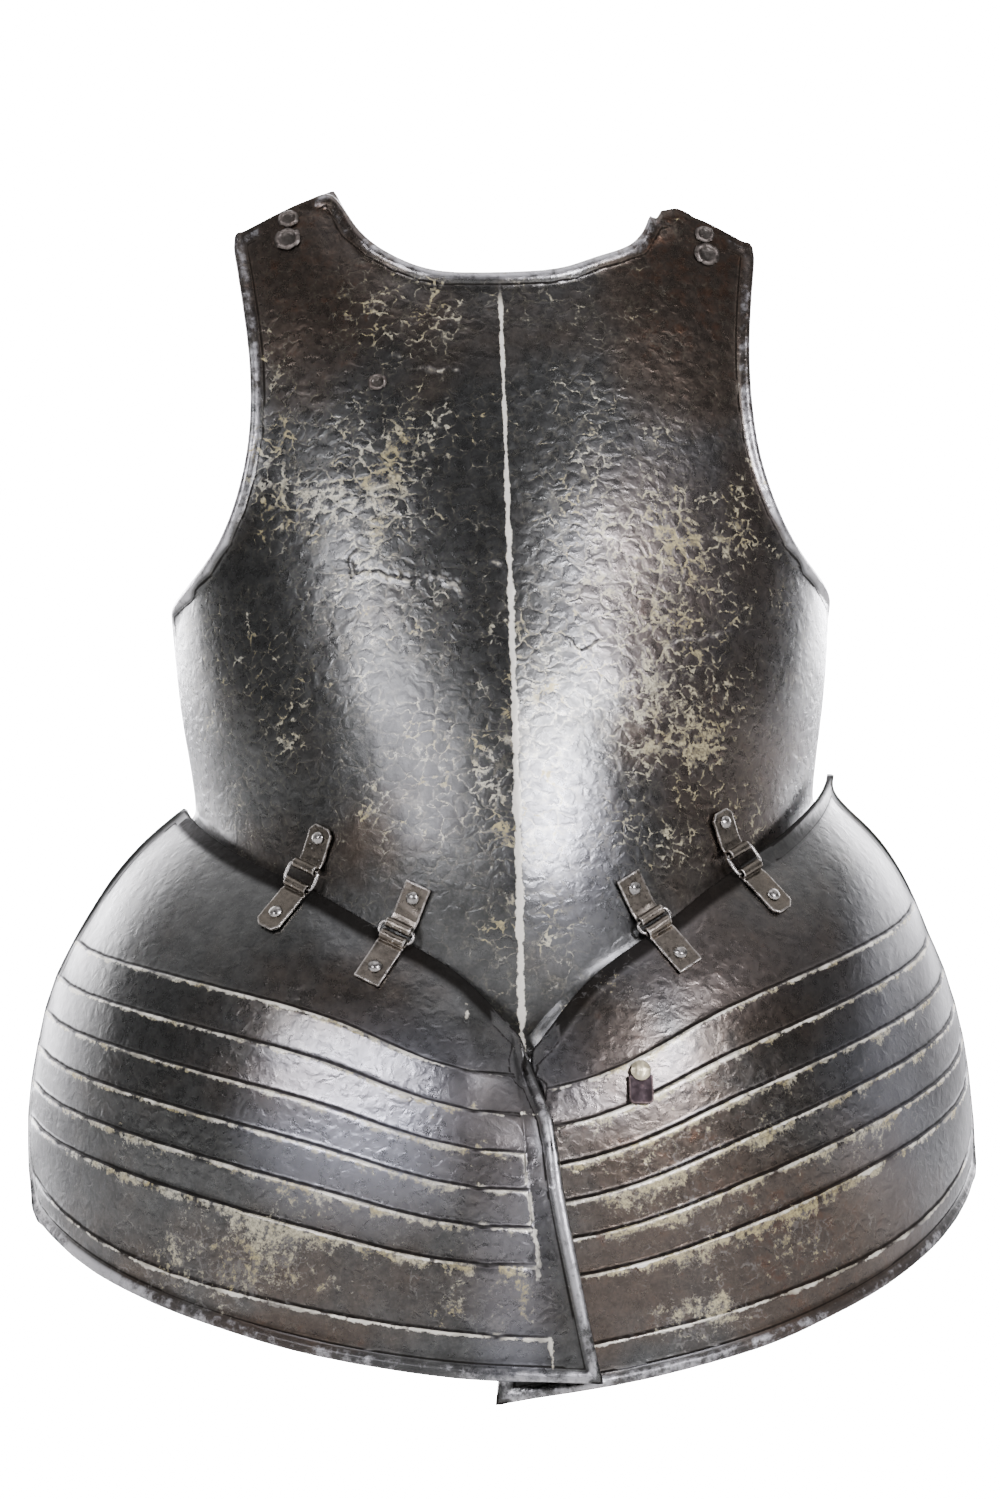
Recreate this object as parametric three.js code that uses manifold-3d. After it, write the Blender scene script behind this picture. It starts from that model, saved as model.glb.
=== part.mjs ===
// A steel breastplate with two broad tassets hinged under its waist.
// Millimetres, +Z up, the front faces -Y. Left and right are the wearer's, so the wearer's right is -X.
// The origin lies midway between the two shoulder ends.
import * as THREE from 'three';
import { mergeVertices } from 'three/addons/utils/BufferGeometryUtils.js';
import Module from 'manifold-3d';

const wasm = await Module();
wasm.setup();

// ---- driving dimensions ----
const BREAST_WALL = 2.2;
const TASSET_WALL = 1.5;
const GAP = 0.35;               // clearance kept between pieces that touch
const REFERENCE_RADIUS = 160;   // turns a distance along the breast into an angle round the body
const TASSET_RADIUS = 210;      // the same for the tassets

const ROLL = [                  // rolled edge: distance from the edge and height over the plate
  { inset: 0, height: 1.2 },
  { inset: 2.0, height: 2.8 },
  { inset: 5.2, height: 2.6 },
  { inset: 7.4, height: 0 },
];

const SHOULDER_DEPTH = 28;      // depth of the breast at the shoulder ends, where y is 0
const SHOULDER_LOSS = 12;       // how much shorter the worn left shoulder end is
const SHOULDER_TURN = 59;       // angle of the outer corner of a shoulder end
const NECK_TURN = 32.5;         // angle of the inner corner of a shoulder end
const SIDE_TURN = 86;           // angle of the upright side edges

// Level sections of the breast: height, half-width, depth of the form and ridge added at the middle.
const BREAST_SECTIONS = [
  { z: -440, half: 159, depth: 138, ridge: 7 },
  { z: -400, half: 160, depth: 143, ridge: 12 },
  { z: -350, half: 161, depth: 144, ridge: 14 },
  { z: -300, half: 164, depth: 138, ridge: 12 },
  { z: -250, half: 171, depth: 129, ridge: 10 },
  { z: -200, half: 174, depth: 117, ridge: 8 },
  { z: -150, half: 173, depth: 104, ridge: 6.5 },
  { z: -100, half: 170, depth: 88, ridge: 5 },
  { z: -50, half: 165, depth: 69, ridge: 4 },
  { z: -20, half: 161, depth: 55, ridge: 3 },
  { z: 20, half: 157, depth: 32, ridge: 2 },
];

// The edge under the arm, from the arm corner up to the shoulder end: height and angle round the body.
const ARM_EDGE = [
  { z: -198, turn: 86 },
  { z: -187, turn: 72 },
  { z: -170, turn: 61 },
  { z: -145, turn: 54 },
  { z: -118, turn: 50.6 },
  { z: -93, turn: 50 },
  { z: -65, turn: 51.2 },
  { z: -38, turn: 54 },
  { z: -6, turn: 59 },
];
const ARM_CORNER = ARM_EDGE[0].z;

// The neck edge, from its middle to the inner corner of the shoulder end.
const NECK_EDGE = [
  { turn: 0, z: -29.5 },
  { turn: 12, z: -27.5 },
  { turn: 18, z: -21.5 },
  { turn: 24, z: -12 },
  { turn: 29, z: 1 },
  { turn: 32.5, z: 18 },
];
const SHOULDER_OUTER_Z = -6;

// The waist line where the flange turns out, from the point at the middle to the side edge.
const WAIST_LINE = [
  { turn: 0, z: -425 },
  { turn: 5, z: -402 },
  { turn: 11, z: -387 },
  { turn: 18, z: -375 },
  { turn: 25, z: -366 },
  { turn: 34, z: -352 },
  { turn: 45, z: -340 },
  { turn: 55, z: -331 },
  { turn: 67, z: -320 },
  { turn: 90, z: -304 },
];

// The skirt form: how far it stands out from the waist at the sides and in front, by the drop below it.
const SKIRT_FLARE = [
  { drop: -12, side: 0.5, front: 0.5 },
  { drop: 0, side: 0, front: 0 },
  { drop: 8, side: 10, front: 5 },
  { drop: 18, side: 22, front: 11 },
  { drop: 33, side: 36, front: 18 },
  { drop: 50, side: 48, front: 25 },
  { drop: 70, side: 60, front: 31 },
  { drop: 92, side: 71, front: 36 },
  { drop: 125, side: 80, front: 41 },
  { drop: 152, side: 84, front: 44 },
  { drop: 184, side: 86, front: 46 },
  { drop: 300, side: 85, front: 47 },
];
const FLANGE_SHARE = 0.5;       // the flange stands out by this share of the skirt form
const FLANGE_DROPS = [3, 8, 14];
const SKIRT_STAND = 3.2;         // tasset's outer face over the waist line
const POINT_STAND = 4.4;         // added at the middle, to clear the ridge
const POINT_TURN = 11;           // half-angle of the waist line's point
const POINT_DEPTH = 60;          // drop below the point by which its dip has filled out

// Lines across a tasset: height at the front edge, at three angles between, and at the outer edge.
const LINE_TURNS = [-8, 12, 30, 55, 88];
const FIRST_STEP = [-443, -433, -409, -390, -374];
const LAST_STEP = [-533, -528, -513, -490, -464];
const BORDER_LINE = [-569, -563, -553, -532, -487];
const BOTTOM_EDGE = [-590, -585, -575, -550, -505];
const TASSET_COLUMNS = 13;
const STEP_COUNT = 6;
const STEP_HEIGHT = 1.8;
const STEP_RISE = 1.4;           // width of the short slope above each step's proud edge
const TOP_ROWS = [0, 0.1, 0.25, 0.45, 0.7];
const FRONT_BAND_HEIGHT = 0.9;
const FRONT_TOP_Z = -425;

// The front edge of a tasset: how far it passes the middle, and the width of the border behind it.
const FRONT_EDGE = [
  { z: -594, past: 34, band: 23 },
  { z: -560, past: 28, band: 21 },
  { z: -492, past: 17, band: 17 },
  { z: -457, past: 13, band: 16 },
  { z: -441, past: 6, band: 11 },
  { z: -425, past: 0, band: 9 },
];
const OUTER_TURN = 87;
const CORNER_TURN = 68;          // where the rounded outer corner meets the bottom edge
const CORNER_START_Z = -452;

// The two tassets: side of the body, lift of the overlap, turn of the whole plate on its hinges,
// and how much further than the skirt form its outer side stands out, at the top and below.
const TASSETS = [
  { name: 'tasset_right', worn: 'right', side: -1, lap: 5.4, hang: 0, gape: 2, spread: 2 },
  { name: 'tasset_left', worn: 'left', side: 1, lap: -4, hang: 3.5, gape: 6, spread: -8 },
];

// Hinges: angle round the body on each side, strap lengths, how far the two bars lie above and below
// the waist line, and how much is clipped off the strap corners.
const HINGES = [
  { place: 'outer', right: 41.5, left: 45, upper: 22, lower: 28, above: 11, below: 2, clipped: 3.2 },
  { place: 'inner', right: 22.5, left: 25, upper: 23, lower: 27, above: 6.5, below: 2.5, clipped: 0 },
];
const STRAP = { width: 14.6, thickness: 1.6, eyeInner: 1.7, eyeWall: 1.1 };
const UPPER_SEAT = { lift: 5.4, gap: 0.6 };   // upper bar and strap back over the breast
const LOWER_SEAT = { lift: 3.6, gap: 1.5 };   // lower bar and strap back over the tasset
const UPPER_RIVET_UP = 15.5;     // rivet centre from the upper bar
const LOWER_RIVET_DOWN = 18;     // rivet centre from the lower bar
const LOOP = { radius: 1.05, halfLength: 9.6, corner: 2.2, sides: 6 };
const HINGE_RIVET = { head: 4, dome: 2.3, shank: 1.8, inner: 3.2, innerHeight: 1.1 };

// Broad rivets of the shoulder ends, by their distance below the edge, and the plug in the chest.
const SHOULDER_RIVET_TURN = 43;
const SHOULDER_RIVETS = [
  { place: 'upper', below: 6.2, shape: { head: 4.3, dome: 1.2, shank: 2, inner: 3.6, innerHeight: 1.2 } },
  { place: 'lower', below: 17, shape: { head: 5.6, dome: 1.2, shank: 2, inner: 3.6, innerHeight: 1.2 } },
];
const PLUG = { turn: -22.5, z: -86, shape: { head: 4, dome: 0.7, shank: 2.4, inner: 3.6, innerHeight: 0.8 } };
const STUD = { turn: 17.5, z: -438, shape: { head: 5.7, dome: 1.6, shank: 1.8, inner: 3.4, innerHeight: 1 } };
const TAB = { width: 12.5, above: 3.5, below: 17, thickness: 1.4, corner: 3 };
const RIVET_FACETS = 8;

const STEEL = { color: 0x3b3d3c, metalness: 0.85, roughness: 0.42 };
const DARK_IRON = { color: 0x37312b, metalness: 0.8, roughness: 0.5 };
const BRIGHT_IRON = { color: 0x8d8a82, metalness: 0.9, roughness: 0.35 };
const PALE_BRASS = { color: 0xa99d78, metalness: 0.85, roughness: 0.38 };

// ---- tables and curves ----
const radians = THREE.MathUtils.degToRad;
const degrees = THREE.MathUtils.radToDeg;
const clamp01 = (value) => THREE.MathUtils.clamp(value, 0, 1);
const lerp = THREE.MathUtils.lerp;

function smoothTable(rows, from, to) {
  const track = new THREE.CubicInterpolant(rows.map((row) => row[from]), rows.map((row) => row[to]), 1);
  return (value) => track.evaluate(value)[0];
}

function smoothRow(values) {
  const track = new THREE.CubicInterpolant(LINE_TURNS, values, 1);
  return (turn) => track.evaluate(turn)[0];
}

const halfWidth = smoothTable(BREAST_SECTIONS, 'z', 'half');
const formDepth = smoothTable(BREAST_SECTIONS, 'z', 'depth');
const ridgeHeight = smoothTable(BREAST_SECTIONS, 'z', 'ridge');
const armTurn = smoothTable(ARM_EDGE, 'z', 'turn');
const neckHeight = smoothTable(NECK_EDGE, 'turn', 'z');
const waistHeight = smoothTable(WAIST_LINE, 'turn', 'z');
const sideFlare = smoothTable(SKIRT_FLARE, 'drop', 'side');
const frontFlare = smoothTable(SKIRT_FLARE, 'drop', 'front');
const frontPast = smoothTable(FRONT_EDGE, 'z', 'past');
const frontBand = smoothTable(FRONT_EDGE, 'z', 'band');

// ---- surfaces: a point for an angle round the body (degrees, + to the wearer's left) and a height ----
function breastPoint(turn, z, ridgeSoftness = 0) {
  const sine = Math.sin(radians(turn));
  const across = Math.hypot(sine, ridgeSoftness);
  const depth = formDepth(z) * Math.cos(radians(turn)) + ridgeHeight(z) * (1 - Math.min(across, 1)) ** 2;
  return new THREE.Vector3(halfWidth(z) * sine, SHOULDER_DEPTH - depth, z);
}

// The drop that sets the flare: below the waist line's point it soon follows the line beside the point.
function flareDrop(turn, z) {
  const drop = waistHeight(Math.abs(turn)) - z;
  const beside = waistHeight(Math.max(Math.abs(turn), POINT_TURN)) - z;
  return lerp(drop, beside, THREE.MathUtils.smoothstep(drop, 0, POINT_DEPTH));
}

function flareAt(turn, drop) {
  const share = Math.sin(radians(turn)) ** 2;
  return lerp(frontFlare(drop), sideFlare(drop), share);
}

function skirtPoint(turn, z, stand, flareShare = 1) {
  const waist = waistHeight(Math.abs(turn));
  const point = breastPoint(turn, waist, 0.12);
  const out = flareShare * flareAt(turn, flareDrop(turn, z)) + stand;
  point.x += Math.sin(radians(turn)) * out;
  point.y -= Math.cos(radians(turn)) * out;
  point.z = z;
  return point;
}

function tassetStand(tasset, turn, z) {
  const outward = turn * tasset.side;
  const point = POINT_STAND * Math.exp(-((turn / 9) ** 2));
  const near = THREE.MathUtils.smoothstep(-outward, -34, -6);
  const low = THREE.MathUtils.smoothstep(FRONT_TOP_Z - z, -40, 6);
  const below = THREE.MathUtils.smoothstep(waistHeight(Math.abs(turn)) - z, 0, 90);
  const spread = lerp(tasset.gape, tasset.spread, below) * Math.sin(radians(turn)) ** 2;
  return SKIRT_STAND + point + tasset.lap * near * low + spread;
}

function normalAt(surface, turn, z) {
  const stepTurn = 0.4;
  const stepZ = 1;
  const across = surface(turn + stepTurn, z).sub(surface(turn - stepTurn, z));
  const upward = surface(turn, z + stepZ).sub(surface(turn, z - stepZ));
  return across.cross(upward).normalize();
}

// ---- closed walls from matching grids of outer and inner points ----
function wallGeometry(outer, inner) {
  const rows = outer.length;
  const columns = outer[0].length;
  const positions = [outer, inner].flatMap((grid) => grid.flat().flatMap((point) => point.toArray()));
  const at = (layer, row, column) => (layer * rows + row) * columns + column;
  const faces = [];
  const quad = (a, b, c, d) => faces.push(a, b, c, a, c, d);
  for (let row = 0; row < rows - 1; row += 1) {
    for (let column = 0; column < columns - 1; column += 1) {
      const corners = [[row, column], [row + 1, column], [row + 1, column + 1], [row, column + 1]];
      const [a, b, c, d] = corners.map(([r, k]) => outer[r][k]);
      const start = a.distanceTo(c) <= b.distanceTo(d) ? 0 : 1;
      const ring = [0, 1, 2, 3].map((step) => corners[(step + start) % 4]);
      quad(...ring.map(([r, k]) => at(0, r, k)));
      quad(...ring.map(([r, k]) => at(1, r, k)).reverse());
    }
  }
  const border = [];
  for (let column = 0; column < columns - 1; column += 1) border.push([0, column]);
  for (let row = 0; row < rows - 1; row += 1) border.push([row, columns - 1]);
  for (let column = columns - 1; column > 0; column -= 1) border.push([rows - 1, column]);
  for (let row = rows - 1; row > 0; row -= 1) border.push([row, 0]);
  border.forEach(([row, column], index) => {
    const [nextRow, nextColumn] = border[(index + 1) % border.length];
    quad(at(0, row, column), at(0, nextRow, nextColumn), at(1, nextRow, nextColumn), at(1, row, column));
  });
  const geometry = new THREE.BufferGeometry();
  geometry.setAttribute('position', new THREE.Float32BufferAttribute(positions, 3));
  geometry.setIndex(faces);
  return geometry;
}

// ---- solids: join and cut ----
function toSolid(geometry) {
  const bare = geometry.clone();
  bare.deleteAttribute('normal');
  bare.deleteAttribute('uv');
  const merged = mergeVertices(bare, 1e-4);
  const vertProperties = new Float32Array(merged.attributes.position.array);
  const triVerts = new Uint32Array(merged.index.array);
  return new wasm.Manifold(new wasm.Mesh({ numProp: 3, vertProperties, triVerts }));
}

function toGeometry(solid) {
  const mesh = solid.getMesh();
  const geometry = new THREE.BufferGeometry();
  geometry.setAttribute('position', new THREE.Float32BufferAttribute(Array.from(mesh.vertProperties), 3));
  geometry.setIndex(Array.from(mesh.triVerts));
  return geometry;
}

function cutHoles(geometry, holes) {
  let solid = toSolid(geometry);
  for (const { frame, radius } of holes) {
    const drill = new THREE.CylinderGeometry(radius, radius, 20, RIVET_FACETS);
    drill.applyMatrix4(frame);
    solid = solid.subtract(toSolid(drill));
  }
  return toGeometry(solid);
}

// A frame on a surface: X along the given direction, -Y along the outward normal.
function frameAt(point, normal, along) {
  const inward = normal.clone().negate();
  const x = along.clone().addScaledVector(inward, -along.dot(inward)).normalize();
  const z = new THREE.Vector3().crossVectors(x, inward);
  return new THREE.Matrix4().makeBasis(x, inward, z).setPosition(point);
}

function shifted(frame, x, y, z) {
  return frame.clone().multiply(new THREE.Matrix4().makeTranslation(x, y, z));
}

const group = new THREE.Group();

function addPart(name, geometry, finish, frame = new THREE.Matrix4()) {
  const placed = geometry.index ? geometry.toNonIndexed() : geometry.clone();
  placed.applyMatrix4(frame);
  placed.computeVertexNormals();
  const material = new THREE.MeshStandardMaterial({ ...finish, flatShading: true });
  const mesh = new THREE.Mesh(placed, material);
  mesh.name = name;
  group.add(mesh);
}

// ---- breast ----
const BREAST_ROWS = [0.02, 0.075, 0.14, 0.205, 0.27, 0.335, 0.4, 0.46, 0.515, 0.56, 0.6, 0.635, 0.66,
  0.71, 0.77, 0.83, 0.89, 0.945, 1];
const BREAST_SHOULDER_COLUMNS = 4;
const BREAST_NECK_COLUMNS = 7;

function shoulderLoss(turn) {
  return turn > 0 ? SHOULDER_LOSS * THREE.MathUtils.smoothstep(turn, 17, NECK_TURN) : 0;
}

function breastTop(turn) {
  const away = Math.abs(turn);
  if (away <= NECK_TURN) return neckHeight(away) - shoulderLoss(turn);
  const tip = neckHeight(NECK_TURN);
  const share = (away - NECK_TURN) / (SHOULDER_TURN - NECK_TURN);
  return lerp(tip, SHOULDER_OUTER_Z, share) - shoulderLoss(turn);
}

// Edge angle for a share of the way down the side: arm edge first, then the upright side.
function edgeTurn(share, side) {
  const top = breastTop(side * SHOULDER_TURN);
  const bottom = waistHeight(SIDE_TURN);
  const z = lerp(top, bottom, share);
  return z > ARM_CORNER ? armTurn(Math.min(z, SHOULDER_OUTER_Z)) : SIDE_TURN;
}

function edgeSlope(share, side) {
  const span = 0.01;
  const height = (breastTop(side * SHOULDER_TURN) - waistHeight(SIDE_TURN)) * 2 * span;
  const sweep = edgeTurn(share + span, side) - edgeTurn(share - span, side);
  return Math.hypot(height, radians(sweep) * REFERENCE_RADIUS) / height;
}

function breastColumnShares() {
  const tip = NECK_TURN / SHOULDER_TURN;
  const inset = ROLL.at(-1).inset / (radians(SHOULDER_TURN) * REFERENCE_RADIUS);
  const tipShare = tip / (1 - inset);
  const half = [];
  for (let k = 0; k < BREAST_NECK_COLUMNS; k += 1) half.push((tipShare * k) / BREAST_NECK_COLUMNS);
  for (let k = 0; k < BREAST_SHOULDER_COLUMNS; k += 1) {
    half.push(lerp(tipShare, 1, k / BREAST_SHOULDER_COLUMNS));
  }
  return half;
}

// One row of columns from edge to edge: share of the edge angle, and height of the arm roll there.
function breastColumns(share) {
  const halves = [-1, 1].map((side) => {
    const edge = edgeTurn(share, side);
    const z = lerp(breastTop(side * SHOULDER_TURN), waistHeight(SIDE_TURN), share);
    const rolled = THREE.MathUtils.smoothstep(z, ARM_CORNER - 12, ARM_CORNER + 4);
    const slope = Math.min(edgeSlope(share, side), 2.4);
    const insetShare = (inset) => (inset * slope) / (radians(edge) * REFERENCE_RADIUS);
    const inner = 1 - insetShare(ROLL.at(-1).inset);
    const columns = breastColumnShares().map((value) => ({ turn: side * edge * value * inner, roll: 0 }));
    const border = [...ROLL].reverse().map(({ inset, height }) => ({
      turn: side * edge * (1 - insetShare(inset)),
      roll: height * rolled,
    }));
    return [...columns, ...border];
  });
  return [...halves[0].reverse().slice(0, -1), ...halves[1]];
}

function neckSlope(share) {
  const turn = share * SHOULDER_TURN;
  const span = 1;
  const rise = breastTop(turn + span) - breastTop(turn - span);
  return Math.hypot(rise, radians(2 * span) * REFERENCE_RADIUS) / (radians(2 * span) * REFERENCE_RADIUS);
}

function breastGrid() {
  const rowCount = ROLL.length + BREAST_ROWS.length;
  const outer = [];
  const inner = [];
  for (let row = 0; row < rowCount; row += 1) {
    const bead = ROLL[row];
    const level = bead ? 0 : BREAST_ROWS[row - ROLL.length];
    const columns = breastColumns(level);
    const lastColumn = columns.length - 1;
    const topColumns = breastColumns(0);
    const outerRow = [];
    const innerRow = [];
    columns.forEach((column, index) => {
      const topTurn = topColumns[index].turn;
      const top = breastTop(topTurn);
      const bottomTurn = (column.turn / edgeTurn(level, Math.sign(column.turn) || 1)) * SIDE_TURN;
      const bottom = waistHeight(Math.abs(bottomTurn));
      const onNeck = Math.abs(topTurn) < NECK_TURN + 0.5;
      const slope = onNeck ? Math.min(neckSlope(topTurn / SHOULDER_TURN), 1.7) : 1;
      const start = ROLL.at(-1).inset * slope;
      const inset = bead ? bead.inset * slope : start + level * (top - bottom - start);
      const z = top - inset;
      const atEdge = index < ROLL.length || index > lastColumn - ROLL.length;
      const roll = Math.max(bead && onNeck ? bead.height : 0, atEdge ? column.roll : 0);
      const base = breastPoint(column.turn, z);
      const normal = normalAt(breastPoint, column.turn, z);
      outerRow.push(base.clone().addScaledVector(normal, roll));
      innerRow.push(base.clone().addScaledVector(normal, -BREAST_WALL));
    });
    outer.push(outerRow);
    inner.push(innerRow);
  }
  const waistTurns = breastColumns(1).map((column) => column.turn);
  for (const drop of FLANGE_DROPS) {
    const flange = (turn, z) => skirtPoint(turn, z, 0, FLANGE_SHARE);
    const points = waistTurns.map((turn) => {
      const z = waistHeight(Math.abs(turn)) - drop;
      return { base: flange(turn, z), normal: normalAt(flange, turn, z) };
    });
    outer.push(points.map(({ base }) => base));
    inner.push(points.map(({ base, normal }) => base.clone().addScaledVector(normal, -BREAST_WALL)));
  }
  return { outer, inner };
}

// ---- tassets ----
function tassetLineRows() {
  const first = smoothRow(FIRST_STEP);
  const last = smoothRow(LAST_STEP);
  const border = smoothRow(BORDER_LINE);
  const bottom = smoothRow(BOTTOM_EDGE);
  const rows = TOP_ROWS.map((share) => ({
    z: (turn) => lerp(waistHeight(Math.abs(turn)), first(turn), share),
    relief: 0,
  }));
  for (let step = 0; step < STEP_COUNT; step += 1) {
    const line = (turn) => lerp(first(turn), last(turn), step / (STEP_COUNT - 1));
    rows.push({ z: (turn) => line(turn) + STEP_RISE, relief: 0 });
    rows.push({ z: line, relief: STEP_HEIGHT });
  }
  rows.push({ z: (turn) => border(turn) + STEP_RISE, relief: 0 });
  rows.push({ z: border, relief: FRONT_BAND_HEIGHT });
  for (const { inset, height } of [...ROLL].reverse()) {
    rows.push({ z: (turn) => bottom(turn) + inset, relief: 0, roll: height });
  }
  return rows;
}

// The outer end of a row: upright edge above, then round the corner to the bottom edge.
function outerTurn(z) {
  const low = smoothRow(BOTTOM_EDGE)(CORNER_TURN);
  const share = clamp01((CORNER_START_Z - z) / (CORNER_START_Z - low));
  return OUTER_TURN - (OUTER_TURN - CORNER_TURN) * (1 - Math.sqrt(1 - share ** 2));
}

function frontTurn(z) {
  return -degrees(frontPast(z) / TASSET_RADIUS);
}


function rowEnd(row, edge, start) {
  let turn = start;
  for (let round = 0; round < 12; round += 1) turn = lerp(turn, edge(row.z(turn)), 0.7);
  return turn;
}

function tassetGrid(tasset) {
  const surface = (turn, z) => skirtPoint(turn, z, tassetStand(tasset, turn, z));
  const pivot = hingePivot(tasset.worn);
  const swing = radians(tasset.hang);
  const outer = [];
  const inner = [];
  for (const row of tassetLineRows()) {
    const outerEnd = rowEnd(row, outerTurn, OUTER_TURN);
    const frontEnd = rowEnd(row, frontTurn, 0);
    const angle = (inset) => degrees(inset / TASSET_RADIUS);
    const rollInset = angle(ROLL.at(-1).inset);
    const bandInset = angle(frontBand(row.z(frontEnd)));
    const bandTurn = frontEnd + bandInset + angle(STEP_RISE);
    const columns = [];
    for (const { inset, height } of ROLL) {
      columns.push({ turn: outerEnd - angle(inset) * 0.8, roll: height * 0.8, band: inset > 7 ? 0.4 : 1 });
    }
    for (let k = 1; k < TASSET_COLUMNS; k += 1) {
      const turn = lerp(outerEnd - rollInset * 0.8, bandTurn, k / TASSET_COLUMNS);
      columns.push({ turn, roll: 0, band: 0 });
    }
    columns.push({ turn: bandTurn, roll: 0, band: 0 });
    columns.push({ turn: frontEnd + bandInset, roll: 0, band: 1 });
    for (const { inset, height } of [...ROLL].reverse()) {
      columns.push({ turn: frontEnd + angle(inset), roll: height, band: 1 });
    }
    const ordered = tasset.side < 0 ? columns : [...columns].reverse();
    const outerRow = [];
    const innerRow = [];
    for (const column of ordered) {
      const z = row.z(column.turn);
      const across = radians(column.turn - pivot.turn) * TASSET_RADIUS;
      const fall = z - pivot.z;
      const hungTurn = column.turn + degrees((-fall * Math.sin(swing)) / TASSET_RADIUS);
      const hungZ = z + across * Math.sin(swing);
      const turn = tasset.side * hungTurn;
      const relief = lerp(row.relief, FRONT_BAND_HEIGHT, column.band);
      const roll = Math.max(column.roll, row.roll ?? 0);
      const base = surface(turn, hungZ);
      const normal = normalAt(surface, turn, hungZ);
      outerRow.push(base.clone().addScaledVector(normal, Math.max(relief, roll)));
      innerRow.push(base.clone().addScaledVector(normal, (roll > 0 ? 0 : relief) - TASSET_WALL));
    }
    outer.push(outerRow);
    inner.push(innerRow);
  }
  return { outer, inner };
}

function hingePivot(worn) {
  const turn = (HINGES[0][worn] + HINGES[1][worn]) / 2;
  return { turn, z: waistHeight(turn) };
}

// ---- fittings ----
// A strap folded round a bar: its eye lies on local X and the strap runs up from it, against the plate,
// whose face is at y = lift.
function strapGeometry(length, clipped, { lift, gap }, rivetUp) {
  const { width, thickness, eyeInner, eyeWall } = STRAP;
  const eyeOuter = eyeInner + eyeWall;
  const back = lift - gap;
  const front = back - thickness;
  const profile = new THREE.Shape([
    new THREE.Vector2(back, length),
    new THREE.Vector2(back, 5),
    new THREE.Vector2(eyeOuter * 0.94, 0.6),
    new THREE.Vector2(eyeInner + 0.2, 0.2),
    new THREE.Vector2(front, 5),
    new THREE.Vector2(front, length),
  ]);
  const leaf = new THREE.ExtrudeGeometry(profile, { depth: width, bevelEnabled: false });
  const axes = [new THREE.Vector3(0, 1, 0), new THREE.Vector3(0, 0, 1), new THREE.Vector3(1, 0, 0)];
  leaf.applyMatrix4(new THREE.Matrix4().makeBasis(...axes)).translate(-width / 2, 0, 0);
  const ring = new THREE.CylinderGeometry(eyeOuter, eyeOuter, width, 12).rotateZ(Math.PI / 2);
  const bore = new THREE.CylinderGeometry(eyeInner, eyeInner, width + 4, 12).rotateZ(Math.PI / 2);
  const hole = new THREE.CylinderGeometry(HINGE_RIVET.shank + GAP, HINGE_RIVET.shank + GAP, 12, RIVET_FACETS);
  hole.translate(0, back, rivetUp);
  let solid = toSolid(leaf).add(toSolid(ring)).subtract(toSolid(bore)).subtract(toSolid(hole));
  if (clipped > 0) {
    const half = width / 2;
    const plan = new THREE.Shape([
      new THREE.Vector2(-half - 1, -eyeOuter - 1),
      new THREE.Vector2(half + 1, -eyeOuter - 1),
      new THREE.Vector2(half + 1, length - clipped - 1),
      new THREE.Vector2(half - clipped, length + 0.2),
      new THREE.Vector2(clipped - half, length + 0.2),
      new THREE.Vector2(-half - 1, length - clipped - 1),
    ]);
    const cutter = new THREE.ExtrudeGeometry(plan, { depth: 24, bevelEnabled: false });
    cutter.rotateX(Math.PI / 2).translate(0, 12, 0);
    solid = solid.intersect(toSolid(cutter));
  }
  return toGeometry(solid);
}

// A closed wire loop in the local XZ plane, from the bar at z = 0 up to the bar at z = height.
function loopGeometry(height) {
  const corner = Math.min(LOOP.corner, height / 2 - 0.2);
  const reach = LOOP.halfLength - corner;
  const corners = [
    { x: reach, z: height - corner, start: 0 },
    { x: -reach, z: height - corner, start: 90 },
    { x: -reach, z: corner, start: 180 },
    { x: reach, z: corner, start: 270 },
  ];
  const path = corners.flatMap(({ x, z, start }) => [0, 45, 90].map((turn) => {
    const out = new THREE.Vector3(Math.cos(radians(start + turn)), 0, Math.sin(radians(start + turn)));
    return { centre: new THREE.Vector3(x, 0, z).addScaledVector(out, corner), out };
  }));
  const positions = path.flatMap(({ centre, out }) => {
    const ring = [];
    for (let side = 0; side < LOOP.sides; side += 1) {
      const angle = (side / LOOP.sides) * 2 * Math.PI;
      const point = centre.clone().addScaledVector(out, LOOP.radius * Math.cos(angle));
      point.y += LOOP.radius * Math.sin(angle);
      ring.push(...point.toArray());
    }
    return ring;
  });
  const faces = [];
  for (let step = 0; step < path.length; step += 1) {
    const next = (step + 1) % path.length;
    for (let side = 0; side < LOOP.sides; side += 1) {
      const after = (side + 1) % LOOP.sides;
      const ring = [[step, side], [step, after], [next, after], [next, side]];
      const [a, b, c, d] = ring.map(([place, edge]) => place * LOOP.sides + edge);
      faces.push(a, b, c, a, c, d);
    }
  }
  const geometry = new THREE.BufferGeometry();
  geometry.setAttribute('position', new THREE.Float32BufferAttribute(positions, 3));
  geometry.setIndex(faces);
  return geometry;
}

// A rivet along local Y: its domed head outside (-Y), seated at y = 0, and a peened head inside.
function rivetGeometry({ head, dome, shank, inner, innerHeight }, grip) {
  const profile = [
    new THREE.Vector2(0, -dome - GAP),
    new THREE.Vector2(head * 0.55, -dome * 0.84 - GAP),
    new THREE.Vector2(head, -dome * 0.3 - GAP),
    new THREE.Vector2(head, -GAP),
    new THREE.Vector2(shank, -GAP),
    new THREE.Vector2(shank, grip + GAP),
    new THREE.Vector2(inner, grip + GAP),
    new THREE.Vector2(inner * 0.7, grip + GAP + innerHeight),
    new THREE.Vector2(0, grip + GAP + innerHeight),
  ];
  return new THREE.LatheGeometry(profile, RIVET_FACETS);
}

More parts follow.
